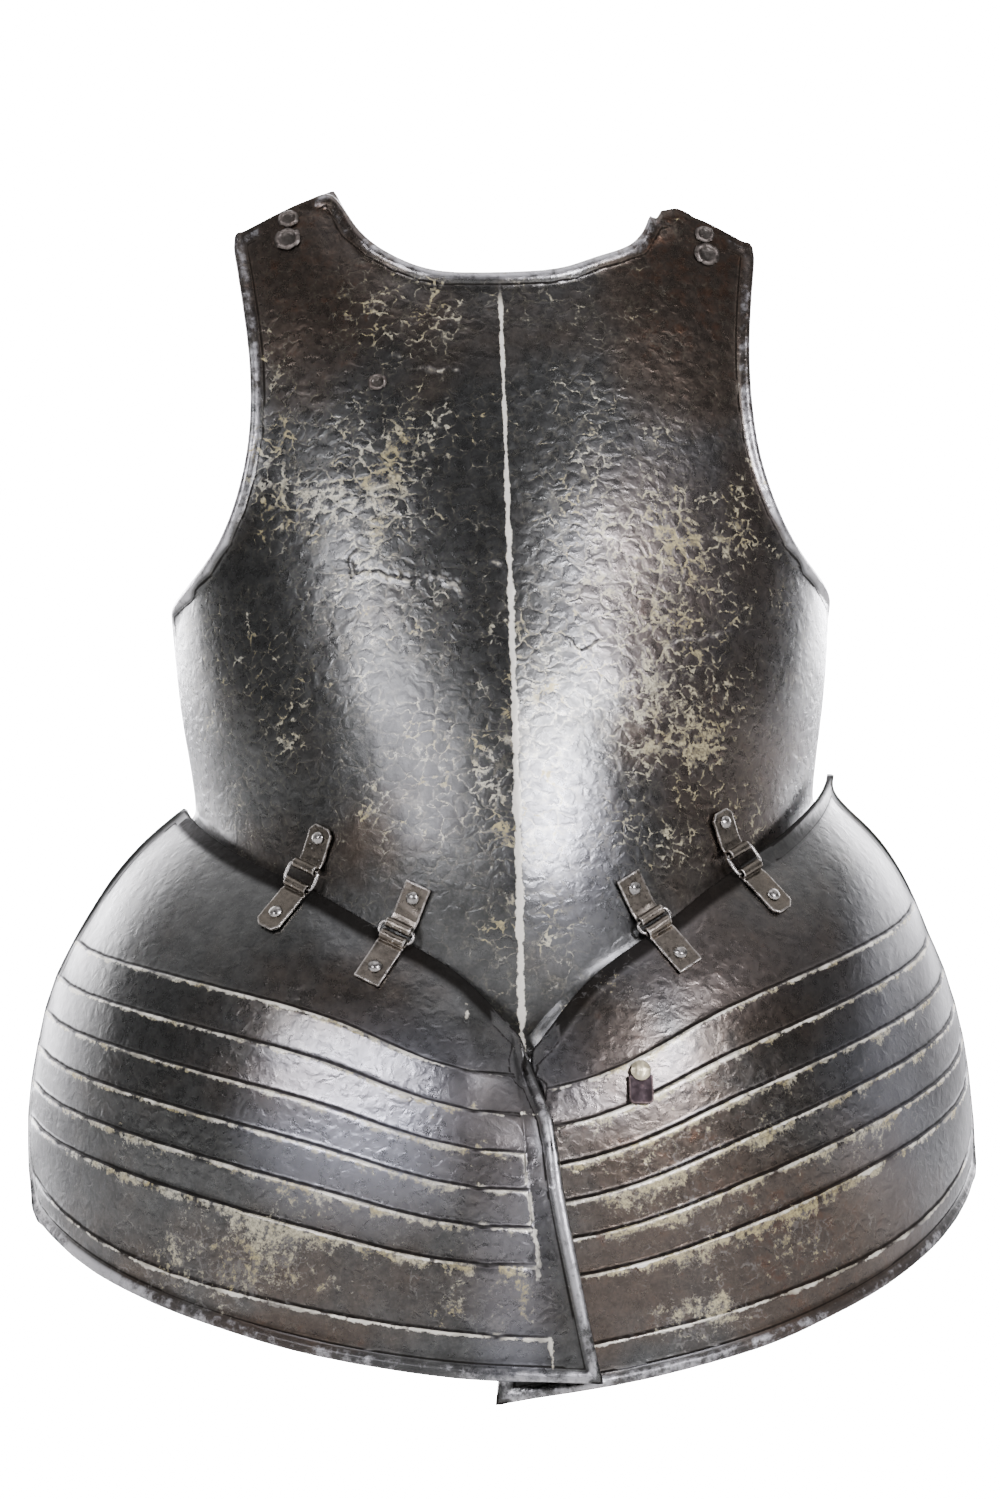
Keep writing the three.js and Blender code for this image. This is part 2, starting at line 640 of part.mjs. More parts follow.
// The dark tab under the stud: a plate with a rounded lower end, its back at y = 0.
function tabGeometry() {
  const { width, above, below, thickness, corner } = TAB;
  const half = width / 2;
  const plan = new THREE.Shape();
  plan.moveTo(-half, above);
  plan.lineTo(-half, corner - below);
  plan.absarc(corner - half, corner - below, corner, Math.PI, 1.5 * Math.PI, false);
  plan.absarc(half - corner, corner - below, corner, 1.5 * Math.PI, 2 * Math.PI, false);
  plan.lineTo(half, above);
  plan.closePath();
  const hole = new THREE.Path();
  hole.absarc(0, 0, STUD.shape.shank + GAP, 0, 2 * Math.PI, true);
  plan.holes.push(hole);
  const tab = new THREE.ExtrudeGeometry(plan, { depth: thickness, bevelEnabled: false, curveSegments: 4 });
  return tab.rotateX(Math.PI / 2);
}

// ---- assembly ----
const breastHoles = [];
const tassetHoles = { tasset_right: [], tasset_left: [] };

// The line each tasset swings on: its two lower bars, outer one first.
group.userData.hingeLines = { right: [], left: [] };

function drillFor(frame, shank) {
  return { frame, radius: shank + GAP + 0.1 };
}

function addHinge(tasset, hinge) {
  const label = `${tasset.worn}_${hinge.place}`;
  const turn = tasset.side * hinge[tasset.worn];
  const waist = waistHeight(Math.abs(turn));
  const waistAt = (angle) => breastPoint(angle, waistHeight(Math.abs(angle)));
  const along = waistAt(turn + 2).sub(waistAt(turn - 2)).normalize();

  const surface = (angle, z) => skirtPoint(angle, z, tassetStand(tasset, angle, z));
  const lowerZ = waist - hinge.below;
  const lowerNormal = normalAt(surface, turn, lowerZ - hinge.lower / 2);
  const lowerBar = surface(turn, lowerZ).addScaledVector(lowerNormal, LOWER_SEAT.lift);
  const lowerFrame = frameAt(lowerBar, lowerNormal, along.clone().negate());

  const upperZ = waist + hinge.above;
  const upperNormal = normalAt(breastPoint, turn, upperZ + hinge.upper / 2);
  const upperBar = breastPoint(turn, upperZ).addScaledVector(upperNormal, UPPER_SEAT.lift);
  upperBar.addScaledVector(along, -upperBar.clone().sub(lowerBar).dot(along));
  group.userData.hingeLines[tasset.worn].push(lowerBar.toArray());
  const upperFrame = frameAt(upperBar, upperNormal, along);

  addPart(`upper_strap_${label}`, strapGeometry(hinge.upper, hinge.clipped, UPPER_SEAT, UPPER_RIVET_UP),
    DARK_IRON, upperFrame);
  addPart(`lower_strap_${label}`, strapGeometry(hinge.lower, hinge.clipped, LOWER_SEAT, LOWER_RIVET_DOWN),
    DARK_IRON, lowerFrame);

  const rise = upperBar.clone().sub(lowerBar);
  const inward = new THREE.Vector3().crossVectors(rise, along).normalize();
  const loopFrame = frameAt(lowerBar, inward.clone().negate(), along);
  addPart(`loop_${label}`, loopGeometry(rise.length()), BRIGHT_IRON, loopFrame);

  addStrapRivet(`rivet_upper_${label}`, upperFrame, UPPER_SEAT, UPPER_RIVET_UP, BREAST_WALL, breastHoles);
  addStrapRivet(`rivet_lower_${label}`, lowerFrame, LOWER_SEAT, LOWER_RIVET_DOWN, TASSET_WALL,
    tassetHoles[tasset.name]);
}

function addStrapRivet(name, strapFrame, { lift, gap }, along, wall, holes) {
  const frame = shifted(strapFrame, 0, lift - gap - STRAP.thickness, along);
  const grip = STRAP.thickness + gap + wall + 0.7;
  addPart(name, rivetGeometry(HINGE_RIVET, grip), BRIGHT_IRON, frame);
  holes.push(drillFor(frame, HINGE_RIVET.shank));
}

function addBreastRivet(name, turn, z, shape, finish) {
  const normal = normalAt(breastPoint, turn, z);
  const seat = breastPoint(turn, z).addScaledVector(normal, 0.1);
  const frame = frameAt(seat, normal, new THREE.Vector3(1, 0, 0));
  addPart(name, rivetGeometry(shape, BREAST_WALL + 0.2), finish, frame);
  breastHoles.push(drillFor(frame, shape.shank));
}

function addStud(tasset) {
  const surface = (angle, z) => skirtPoint(angle, z, tassetStand(tasset, angle, z));
  const normal = normalAt(surface, STUD.turn, STUD.z);
  const lift = STEP_HEIGHT + 0.5;
  const seat = surface(STUD.turn, STUD.z).addScaledVector(normal, lift);
  const frame = frameAt(seat, normal, new THREE.Vector3(1, 0, 0));
  addPart('stud_tab', tabGeometry(), DARK_IRON, frame);
  const studFrame = shifted(frame, 0, -TAB.thickness, 0);
  const grip = TAB.thickness + lift + TASSET_WALL + 0.3;
  addPart('stud', rivetGeometry(STUD.shape, grip), PALE_BRASS, studFrame);
  tassetHoles[tasset.name].push(drillFor(studFrame, STUD.shape.shank));
}

for (const tasset of TASSETS) {
  for (const hinge of HINGES) addHinge(tasset, hinge);
}
addStud(TASSETS[1]);
for (const { worn, side } of TASSETS) {
  const turn = side * SHOULDER_RIVET_TURN;
  for (const { place, below, shape } of SHOULDER_RIVETS) {
    const label = `shoulder_rivet_${worn}_${place}`;
    addBreastRivet(label, turn, breastTop(turn) - below, shape, DARK_IRON);
  }
}
addBreastRivet('plug_rivet', PLUG.turn, PLUG.z, PLUG.shape, DARK_IRON);

for (const tasset of TASSETS) {
  const { outer, inner } = tassetGrid(tasset);
  addPart(tasset.name, cutHoles(wallGeometry(outer, inner), tassetHoles[tasset.name]), STEEL);
}
const breast = breastGrid();
addPart('breast', cutHoles(wallGeometry(breast.outer, breast.inner), breastHoles), STEEL);

export default group;
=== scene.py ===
"""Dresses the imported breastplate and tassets: hammered blackened steel plates, their hinges and rivets."""
import math
from functools import partialmethod

import bpy
import numpy as np
from mathutils import Matrix, Vector, kdtree, noise


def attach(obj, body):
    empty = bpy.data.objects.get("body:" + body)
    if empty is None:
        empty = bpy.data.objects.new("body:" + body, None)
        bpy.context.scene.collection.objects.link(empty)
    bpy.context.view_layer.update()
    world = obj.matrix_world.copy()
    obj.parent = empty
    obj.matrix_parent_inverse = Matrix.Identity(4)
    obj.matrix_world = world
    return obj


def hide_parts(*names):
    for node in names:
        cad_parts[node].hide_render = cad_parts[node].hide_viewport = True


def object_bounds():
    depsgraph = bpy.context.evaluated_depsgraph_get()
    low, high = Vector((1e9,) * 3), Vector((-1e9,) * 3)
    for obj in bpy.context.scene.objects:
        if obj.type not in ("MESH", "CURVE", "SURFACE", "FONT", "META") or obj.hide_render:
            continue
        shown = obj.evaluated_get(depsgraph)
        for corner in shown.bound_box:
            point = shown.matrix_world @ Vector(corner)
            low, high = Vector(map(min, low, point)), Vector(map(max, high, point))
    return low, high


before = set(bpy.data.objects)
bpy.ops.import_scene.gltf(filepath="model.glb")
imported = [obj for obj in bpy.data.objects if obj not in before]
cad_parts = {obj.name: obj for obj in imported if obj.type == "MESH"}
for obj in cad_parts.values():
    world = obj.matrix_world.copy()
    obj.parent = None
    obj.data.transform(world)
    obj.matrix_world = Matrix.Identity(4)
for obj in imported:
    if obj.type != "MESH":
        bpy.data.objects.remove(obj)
CAD_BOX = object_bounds()

bl_info = {
    "name": "Cuirass finish",
    "version": (1, 0, 0),
    "blender": (4, 5, 0),
    "location": "View3D > Sidebar > Cuirass",
    "description": "Finishes a steel breastplate with two hinged tassets",
    "category": "Object",
}

WORN = ("right", "left")
HINGE_PLACES = ("outer", "inner")
BREAST_BODY = "breastplate"


# ---- settings ----
def number(label, note, default, **kind):
    return bpy.props.FloatProperty(name=label, description=note, default=default, **kind)


def length(label, note, default):
    return number(label, note, default, unit="LENGTH")


def angle(label, note, degrees):
    return number(label, note, math.radians(degrees), subtype="ANGLE")


def color(label, note, *default):
    return bpy.props.FloatVectorProperty(
        name=label, description=note, subtype="COLOR", size=3, default=default)


class CuirassPlates(bpy.types.PropertyGroup):
    hammer_depth: length("Hammer depth", "Depth of the hammer marks", 0.00018)
    hammer_size: length("Hammer size", "Width of one hammer mark", 0.011)
    dent_depth: length("Dent depth", "Depth of the broad unevenness", 0.0005)
    dent_size: length("Dent size", "Width of the broad unevenness", 0.05)
    cool_steel: color("Cool steel", "Blackened steel on the wearer's right", 0.094, 0.095, 0.087)
    warm_steel: color("Warm steel", "Browner blackened steel on the wearer's left", 0.122, 0.094, 0.070)
    worn_steel: color("Worn steel", "Bare bright steel", 0.66, 0.63, 0.48)
    rust: color("Rust", "Rust tint", 0.105, 0.052, 0.028)


class CuirassFittings(bpy.types.PropertyGroup):
    strap_iron: color("Strap iron", "Brown iron of the straps", 0.20, 0.175, 0.14)
    wire_iron: color("Wire iron", "Worn grey iron of loops and rivets", 0.36, 0.34, 0.31)
    stud_brass: color("Stud brass", "Dull pale brass of the stud", 0.80, 0.71, 0.47)
    rivet_iron: color("Rivet iron", "Dark iron of the burred shoulder rivets", 0.095, 0.085, 0.072)
    tab_iron: color("Tab iron", "Purplish iron of the tab by the stud", 0.032, 0.024, 0.025)


class CuirassStage(bpy.types.PropertyGroup):
    distance: length("Distance", "Camera to the piece", 3.0)
    yaw: angle("Yaw", "Turn of the camera toward the wearer's right", 2.5)
    elevation: angle("Elevation", "Height of the camera over the level", 1.0)
    roll: angle("Roll", "Lean of the camera", -1.1)
    aim: bpy.props.FloatVectorProperty(
        name="Aim", description="Point the camera looks at", subtype="XYZ", size=3,
        default=(-0.0042, -0.032, -0.277))
    view_height: length("View height", "Height seen at the aim", 0.7795)
    floor_gap: length("Floor gap", "Floor below the lowest edge", 0.03)
    backdrop: number("Backdrop", "Brightness of the white seen behind the piece", 24.0)
    back_light: number("Back light", "Brightness of the white room behind the piece", 29.0)
    front_light: number("Front light", "Brightness of the dark room in front", 0.15)


# ---- modelling helpers ----
def only(obj):
    """Selects just this object and makes it active."""
    bpy.ops.object.select_all(action="DESELECT")
    obj.select_set(True)
    bpy.context.view_layer.objects.active = obj


def edit(obj, chosen=None):
    """Enters edit mode with these vertices selected, or else all of them."""
    only(obj)
    bpy.ops.object.mode_set(mode="EDIT")
    bpy.ops.mesh.select_mode(type="VERT")
    bpy.ops.mesh.select_all(action="SELECT" if chosen is None else "DESELECT")
    if chosen is not None:
        bpy.ops.object.mode_set(mode="OBJECT")
        obj.data.vertices.foreach_set("select", chosen)
        bpy.ops.object.mode_set(mode="EDIT")


def end_edit():
    bpy.ops.object.mode_set(mode="OBJECT")


def join_triangles(degrees):
    """Makes quads of pairs of triangles that are flat and square to within so many degrees."""
    limit = math.radians(degrees)
    bpy.ops.mesh.tris_convert_to_quads(face_threshold=limit, shape_threshold=limit)


def places_of(mesh):
    return np.array([vertex.co for vertex in mesh.vertices])


def normals_of(mesh):
    return np.array([vertex.normal for vertex in mesh.vertices])


def put_places(mesh, places):
    mesh.vertices.foreach_set("co", places.ravel())
    mesh.update()


def push_out(mesh, amount):
    """Moves each vertex along its normal, by what amount says for its place."""
    normals = [vertex.normal.copy() for vertex in mesh.vertices]
    for vertex, normal in zip(mesh.vertices, normals):
        vertex.co += normal * amount(vertex.co)


WELD_GAP = 2e-6        # vertices nearer than this are one


def merged_copy(node, name):
    """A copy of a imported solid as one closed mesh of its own, at the origin as the solid is."""
    obj = bpy.data.objects.new(name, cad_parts[node].data.copy())
    bpy.context.scene.collection.objects.link(obj)
    obj.data.materials.clear()
    edit(obj)
    bpy.ops.mesh.remove_doubles(threshold=WELD_GAP)
    bpy.ops.mesh.customdata_custom_splitnormals_clear()
    end_edit()
    return obj


SUBDIVISIONS = 3


def apply_modifier(obj, kind, **settings):
    modifier = obj.modifiers.new(kind.title(), kind)
    for key, value in settings.items():
        setattr(modifier, key, value)
    only(obj)
    bpy.ops.object.modifier_apply(modifier=modifier.name)


def smooth(obj):
    only(obj)
    bpy.ops.object.shade_smooth()


def subdivide(obj):
    apply_modifier(obj, "SUBSURF", levels=SUBDIVISIONS, render_levels=SUBDIVISIONS)


def rivet_axis(node):
    """Centre and direction of a rivet: the one direction in which a round solid differs."""
    points = places_of(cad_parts[node].data)
    centre = points.mean(axis=0)
    values, vectors = np.linalg.eigh(np.cov((points - centre).T))
    gaps = [abs(values[k] - (values.sum() - values[k]) / 2) for k in range(3)]
    return centre, vectors[:, int(np.argmax(gaps))]


HOLE_RADIUS = 0.0031   # a little more than that of a drilled hole
HOLE_DEPTH = 0.009     # reach along the hole, each way from the rivet's centre


def close_rivet_holes(obj, rivets):
    """Takes out the drilled holes that the rivets hide, so that the plate subdivides evenly."""
    points = places_of(obj.data)
    near = np.zeros(len(points), bool)
    for rivet in rivets:
        centre, axis = rivet_axis(rivet)
        offset = points - centre
        along = offset @ axis
        across = np.linalg.norm(offset - np.outer(along, axis), axis=1)
        near |= (across < HOLE_RADIUS) & (abs(along) < HOLE_DEPTH)
    edit(obj, near)
    bpy.ops.mesh.delete(type="VERT")
    bpy.ops.mesh.select_non_manifold(extend=False)
    bpy.ops.mesh.fill_holes(sides=0)
    bpy.ops.mesh.select_all(action="SELECT")
    bpy.ops.mesh.quads_convert_to_tris(ngon_method="BEAUTY")
    join_triangles(60)
    bpy.ops.mesh.normals_make_consistent(inside=False)
    end_edit()


def fold_angles(mesh):
    """Signed fold of each edge in degrees, outward folds positive, and the edges' end points."""
    faces_of = {}
    for polygon in mesh.polygons:
        for key in polygon.edge_keys:
            faces_of.setdefault(key, []).append(polygon)
    folds = np.zeros(len(mesh.edges))
    ends = np.zeros((len(mesh.edges), 2, 3))
    for edge in mesh.edges:
        a, b = (mesh.vertices[k].co for k in edge.vertices)
        ends[edge.index] = a, b
        pair = faces_of[edge.key]
        if len(pair) == 2:
            first, second = pair
            angle = math.degrees(first.normal.angle(second.normal, 0.0))
            outward = (second.center - first.center).dot(first.normal) < 0
            folds[edge.index] = angle if outward else -angle
    return folds, ends


def edge_tree(ends, spacing=0.0012):
    """Points all along some edges, for measuring how far a place is from them."""
    points = []
    for a, b in ends:
        count = max(2, int(np.linalg.norm(b - a) / spacing))
        points.extend(a + (b - a) * (k / count) for k in range(count + 1))
    tree = kdtree.KDTree(len(points))
    for index, point in enumerate(points):
        tree.insert(point, index)
    tree.balance()
    return tree


def distances(tree, points):
    return np.array([tree.find(point)[2] for point in points])


def set_attribute(mesh, name, values, domain="POINT"):
    attribute = mesh.attributes.new(name, "FLOAT", domain)
    attribute.data.foreach_set("value", np.asarray(values, dtype=np.float32))


RIM_FOLD = 70          # an edge folded more than this belongs to the plate's rim
FEATURE_FOLD = 22      # an edge folded more than this is a step or a border line
ROLL_REACH = 0.0088    # width of the rolled edge, measured from the rim
BAND_REACH = 0.028     # width of a tasset's front band, measured from the rim
BAND_TOP = -0.458      # height at which the band's inner line begins
HEM_TOP = -0.28        # height below which the breast's rim belongs to its waist flange
ROW_END = (0.014, -0.496, -0.460)    # side and heights of a steep row end on the right tasset, no rim
SHORT_EDGE = 0.003     # edges shorter than this are the ends of steps, not part of a line
STEEPNESS = 0.8        # a line that rises more than this share of its length does not run across
RIDGE_FOLD = 2         # the least fold of the breast's ridge
OUTER_NORMAL, CRACK_NORMAL = 0.2, -0.3      # a face is outside, or may crack, if its normal's Y is less
FLANGE_REACH = (0.0120, 0.0210)      # full to no painted shade on the waist flange, measured from its edge
FLANGE_SIDES, FLANGE_MIDDLE = (0.06, 0.125), 0.4     # the painted shade is weaker beside the middle
PLATE_SMOOTHING = 50   # faces that meet at less than this many degrees are shaded as one
# How sharp the lines stay when the plate is subdivided.
CREST_CREASE, FOOT_CREASE, RIM_CREASE, SHALLOW_CREASE = 0.72, 0.6, 0.55, 0.25
RIDGE_CREASES = ((-0.4, -0.05), (0.9, 0.6))      # heights on the breast's ridge, and the creases there

# Places painted onto the plates as ovals: side, height, half-width, half-height (mm) and strength. Worn: pale
# hammer marks. Polished: bright rolled edges. Sheen: painted highlight, a lighter colour where the metal
# should
# catch the light. Dull: painted shade, a darker colour with a rougher face. Brown: browner oxide.
SPOTS = {}
SPOTS["worn"] = {
    "breast": (
        (-75, -152, 44, 30, 1.3), (-60, -112, 50, 34, 0.9), (-48, -48, 44, 30, 0.8),
        (-118, -120, 16, 70, 0.8), (80, -185, 66, 66, 1.05), (86, -255, 48, 50, 1.15),
        (90, -310, 44, 44, 0.8), (45, -115, 60, 50, 0.6), (-8, -300, 22, 130, 0.85),
        (14, -280, 18, 150, 0.8), (-125, -245, 40, 60, 0.65), (-45, -290, 60, 60, 0.55),
        (140, -200, 24, 50, 0.5), (30, -52, 50, 26, 0.55), (-60, -200, 80, 50, 0.5), (100, -110, 30, 60, 0.5),
    ),
    "tasset_right": (
        (-150, -530, 80, 34, 0.9), (-30, -545, 60, 26, 0.6), (-90, -510, 110, 40, 0.5),
        (-200, -480, 40, 50, 0.4), (-60, -470, 90, 30, 0.35),
    ),
    "tasset_left": (
        (82, -560, 34, 16, 1.1), (115, -520, 80, 34, 0.75), (70, -490, 70, 40, 0.7), (150, -470, 60, 50, 0.6),
        (50, -395, 40, 16, 0.7), (80, -440, 70, 30, 0.4), (200, -430, 30, 50, 0.35),
    ),
}
SPOTS["polished"] = {
    "breast": (
        (0, -28, 75, 22, 1.0), (-140, -110, 40, 70, 0.45), (-165, -190, 40, 50, 0.75),
        (145, -110, 40, 70, 0.45), (165, -190, 40, 50, 0.75),
    ),
    "tasset_right": (
        (-250, -400, 30, 120, 0.5), (-60, -580, 120, 16, 0.3), (20, -520, 22, 80, 0.75),
        (-210, -540, 40, 30, 0.6),
    ),
    "tasset_left": (
        (245, -400, 30, 120, 0.5), (60, -590, 90, 16, 0.3), (20, -560, 16, 40, 0.5),
    ),
}
# Sheen: painted highlight, ovals coloured lighter as if they caught the light
SPOTS["painted_sheen"] = {
    "breast": ((30, -330, 30, 50, 0.3), (95, -190, 60, 70, 0.35), (112, -280, 40, 50, 0.35)),
    "tasset_right": ((-78, -460, 56, 46, 1.1), (-10, -520, 20, 90, 0.5)),
    "tasset_left": ((40, -440, 40, 26, 0.5), (100, -385, 60, 26, 0.35), (190, -450, 36, 90, 0.5)),
}
# Dull: painted shade, ovals coloured darker, with a rougher face and less coat
SPOTS["dull_shade"] = {
    "breast": ((-50, -300, 50, 60, 0.2),),
    "tasset_right": ((-9, -451, 26, 18, 0.6), (-238, -430, 26, 120, 0.5)),
    "tasset_left": ((228, -410, 44, 120, 0.85),),
}
SPOTS["brown"] = {
    "breast": (
        (-95, -25, 50, 70, 0.85), (100, -25, 50, 90, 1.15), (125, -170, 26, 90, 0.55),
        (105, -290, 50, 70, 0.7), (85, -190, 50, 80, 0.6), (-105, -330, 50, 25, 0.5),
        (25, -50, 60, 40, 0.35), (120, -250, 30, 60, 0.5), (-30, -60, 40, 40, 0.4),
    ),
    "tasset_right": (
        (-120, -565, 60, 14, 0.8), (-100, -530, 130, 36, 0.45), (-190, -540, 26, 26, 0.55),
        (-100, -400, 60, 30, 0.4), (-20, -480, 30, 70, 0.35), (-140, -440, 90, 20, 0.3),
    ),
    "tasset_left": (
        (140, -530, 70, 60, 1.0), (60, -530, 60, 60, 0.7), (80, -480, 80, 60, 0.7), (110, -390, 60, 50, 0.6),
        (50, -430, 30, 40, 0.7), (30, -560, 30, 40, 0.6),
    ),
}


SPOT_EDGE = 1.35       # an oval is full inside 0.35 of its size, and fades out at this much of it


def spot_strength(spots, points):
    """Strongest of some soft oval spots at each point."""
    points = points * 1000
    strength = np.zeros(len(points))
    for side, height, half_width, half_height, peak in spots:
        reach = np.hypot((points[:, 0] - side) / half_width, (points[:, 2] - height) / half_height)
        strength = np.maximum(strength, peak * np.clip(SPOT_EDGE - reach, 0, 1))
    return strength


def model_plate(node, name, rivets, settings):
    """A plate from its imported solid: holes closed, features kept sharp, subdivided and hammered."""
    obj = merged_copy(node, name)
    close_rivet_holes(obj, rivets)
    mesh = obj.data
    folds, ends = fold_angles(mesh)
    runs = ends[:, 1] - ends[:, 0]
    lengths = np.linalg.norm(runs, axis=1)
    middles = ends.mean(axis=1)
    rim_edges = (folds > RIM_FOLD) & (lengths > SHORT_EDGE)
    if node == "tasset_right":
        side, low, high = ROW_END
        rim_edges &= (abs(middles[:, 0]) > side) | (middles[:, 2] < low) | (middles[:, 2] > high)
    rim = edge_tree(ends[rim_edges])
    inland = distances(rim, middles) > ROLL_REACH
    crest_edges = (folds > FEATURE_FOLD) & (folds <= RIM_FOLD) & inland
    foot_edges = (folds < -FEATURE_FOLD) & inland
    roll_feet = edge_tree(ends[(folds < -FEATURE_FOLD) & ~inland])
    crosswise = (abs(runs[:, 2]) < STEEPNESS * lengths) & (lengths > SHORT_EDGE)
    creases = np.zeros(len(folds))
    creases[crest_edges] = CREST_CREASE
    creases[foot_edges] = FOOT_CREASE
    creases[folds > RIM_FOLD] = RIM_CREASE
    if node == "breast":
        ridge_edges = (abs(ends[:, :, 0]) < 1e-4).all(axis=1) & (folds > RIDGE_FOLD)
        creases[ridge_edges] = np.interp(middles[ridge_edges][:, 2], *RIDGE_CREASES)
        creases[foot_edges] = SHALLOW_CREASE
    else:
        banded = distances(rim, middles) < BAND_REACH
        banded &= (lengths > SHORT_EDGE) & (middles[:, 2] < BAND_TOP)
        crests = edge_tree(ends[crest_edges & (crosswise | banded)])
        feet = edge_tree(ends[foot_edges & crosswise])
        creases[(crest_edges | foot_edges) & ~crosswise & ~banded] = 0
    set_attribute(mesh, "crease_edge", creases, "EDGE")
    subdivide(obj)
    if node == "breast":
        tear(obj)
        ragged_end(obj)
    points = places_of(mesh)
    from_rim = distances(rim, points)
    rolled = (distances(roll_feet, points) < ROLL_REACH) & (from_rim < ROLL_REACH)
    outside = normals_of(mesh)[:, 1] < OUTER_NORMAL
    if node == "breast":
        hem = edge_tree(ends[(folds > RIM_FOLD) & crosswise & (middles[:, 2] < HEM_TOP)])
        rolled &= points[:, 2] > HEM_TOP
        # Painted shade on the waist flange, which lies in shadow behind the tassets' top edges
        flange = np.interp(distances(hem, points), FLANGE_REACH, (1, 0))
        flange *= np.interp(abs(points[:, 0]), FLANGE_SIDES, (FLANGE_MIDDLE, 1))
        set_attribute(mesh, "inside", ~outside)
        set_attribute(mesh, "flange", flange)
    else:
        set_attribute(mesh, "crest", distances(crests, points))
        set_attribute(mesh, "foot", distances(feet, points))
    set_attribute(mesh, "rim", from_rim)
    set_attribute(mesh, "rolled", rolled)
    for label, spots in SPOTS.items():
        where = outside if label == "worn" else 1
        set_attribute(mesh, label, spot_strength(spots[node], points) * where)
    hammer(mesh, settings)
    only(obj)
    bpy.ops.object.shade_smooth_by_angle(angle=math.radians(PLATE_SMOOTHING))
    return obj


# Cracks and scratches in the breast: points (side and height, mm), lip height (mm) and half-width (mm).
TEARS = (
    (((-76, -170), (-81, -178), (-79, -185), (-69, -183), (-62, -186), (-51, -189), (-43, -186), (-35, -187),
      (-28, -191), (-22, -199)), 0.5, 0.6),
    (((-12, -179), (-6, -180), (0, -184)), 0.4, 0.5),
    (((28, -217), (31, -224), (35, -226), (48, -220)), 0.4, 0.5),
    (((79, -225), (90, -221), (98, -221), (115, -217)), 0.4, 0.5),
    (((-59, -73), (-55, -71), (-50, -74)), 0.2, 0.5),
    (((-46, -79), (-38, -78), (-34, -80), (-27, -79), (-20, -82)), 0.25, 0.5),
)
TEAR_REACH = 0.003     # how far to each side of a crack the plate is refined
TEAR_END = 0.005       # a crack closes over this length at its ends
WANDER = (0.005, 0.0016)             # size and width of the wandering of a crack


def run_along(points, path):
    """Distance to the path, signed by the side of it, of each point seen from in front."""
    best = np.full(len(points), np.inf)
    over = np.zeros(len(points))
    for start, end in zip(path, path[1:]):
        run = end - start
        share = np.clip(((points - start) @ run) / (run @ run), 0, 1)
        offset = points - (start + share[:, None] * run)
        away = np.linalg.norm(offset, axis=1)
        closer = away < best
        best[closer] = away[closer]
        over[closer] = np.sign(offset[closer, 1]) * away[closer]
    return best, over


def tear(obj):
    """Refines the plate along each crack, then raises a lip below the line and sinks a groove above it."""
    mesh = obj.data
    paths = [(np.array(path) / 1000, lip / 1000, half / 1000) for path, lip, half in TEARS]
    places = places_of(mesh)
    outer = normals_of(mesh)[:, 1] < CRACK_NORMAL
    near = np.zeros(len(places), bool)
    for path, _, _ in paths:
        away, _ = run_along(places[:, [0, 2]], path)
        near |= (away < TEAR_REACH) & outer
    edit(obj, near)
    bpy.ops.mesh.subdivide(number_cuts=1, quadcorner="INNERVERT")
    end_edit()
    places = places_of(mesh)
    normals = normals_of(mesh)
    torn = np.zeros(len(places))
    split = np.zeros(len(places))
    for path, lip, half in paths:
        wander = np.array([noise.noise(place / WANDER[0]) for place in places]) * WANDER[1]
        _, over = run_along(places[:, [0, 2]], path)
        over = over + wander
        ends = np.minimum(np.linalg.norm(places[:, [0, 2]] - path[0], axis=1),
                          np.linalg.norm(places[:, [0, 2]] - path[-1], axis=1))
        fade = np.clip(ends / TEAR_END, 0.2, 1) * (normals[:, 1] < CRACK_NORMAL)
        raised = np.exp(-((over + half) / half) ** 2) * fade
        sunk = np.exp(-((over - half * 0.6) / (half * 0.6)) ** 2) * fade
        places += normals * (lip * (raised - 0.9 * sunk))[:, None]
        torn = np.maximum(torn, raised)
        split = np.maximum(split, sunk)
    put_places(mesh, places)
    set_attribute(mesh, "torn", torn)
    # split: the sunk groove of each crack, which the breast's material darkens as painted shade
    set_attribute(mesh, "split", split)


# The ragged end of the wearer's left shoulder: side (mm) and how far the edge stands up there (mm).
RAGGED_END = ((70, 0), (76, 1.5), (79.5, 5.8), (81, 5.0), (83, 1.0), (84.5, 1.2), (86.3, 3.4), (90, 3.0),
              (95, 3.8), (101, 2.6), (104, 1.4), (112, 1.8), (126, 1.8), (133, 0))
RAGGED_TOP = (-0.022, -0.004)     # heights between which the unevenness grows


def ragged_end(obj):
    """Draws the top edge of one shoulder end up into the points and notches of a broken edge."""
    sides, rises = np.array(RAGGED_END).T / 1000
    for vertex in obj.data.vertices:
        if vertex.co.x > sides[0] and vertex.co.z > RAGGED_TOP[0]:
            share = np.interp(vertex.co.z, RAGGED_TOP, (0, 1)) ** 2
            vertex.co.z += share * np.interp(vertex.co.x, sides, rises)


MARK_RADIUS = 0.7      # of a hammer mark, as a share of hammer_size: outside it the plate is level
MARK_LEVEL = 0.2       # keeps the plate's mean thickness


def hammer(mesh, settings):
    """Gives a plate small round hammer marks and broad unevenness."""
    def depth(place):
        marks, _ = noise.voronoi(place / settings.hammer_size)
        mark = min(marks[0], MARK_RADIUS) ** 2 - MARK_LEVEL
        broad = noise.noise(place / settings.dent_size)
        return mark * settings.hammer_depth + broad * settings.dent_depth

    push_out(mesh, depth)


def finish_piece(obj, body, nodes, material):
    obj.data.materials.clear()
    obj.data.materials.append(material)
    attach(obj, body)
    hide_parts(*nodes)


# ---- fittings ----
ARRIS_FOLD = 50        # an edge of a strap folded more than this is one of its corners
ARRIS_WEAR = (0.0003, 0.0011)        # full to no rubbing, measured from a corner
ARRIS_SPACING = 0.0004
STRAP_VOXEL, TAB_VOXEL = 0.00034, 0.0003
STRAP_UNEVENNESS, STRAP_GRAIN = 0.00022, 0.005


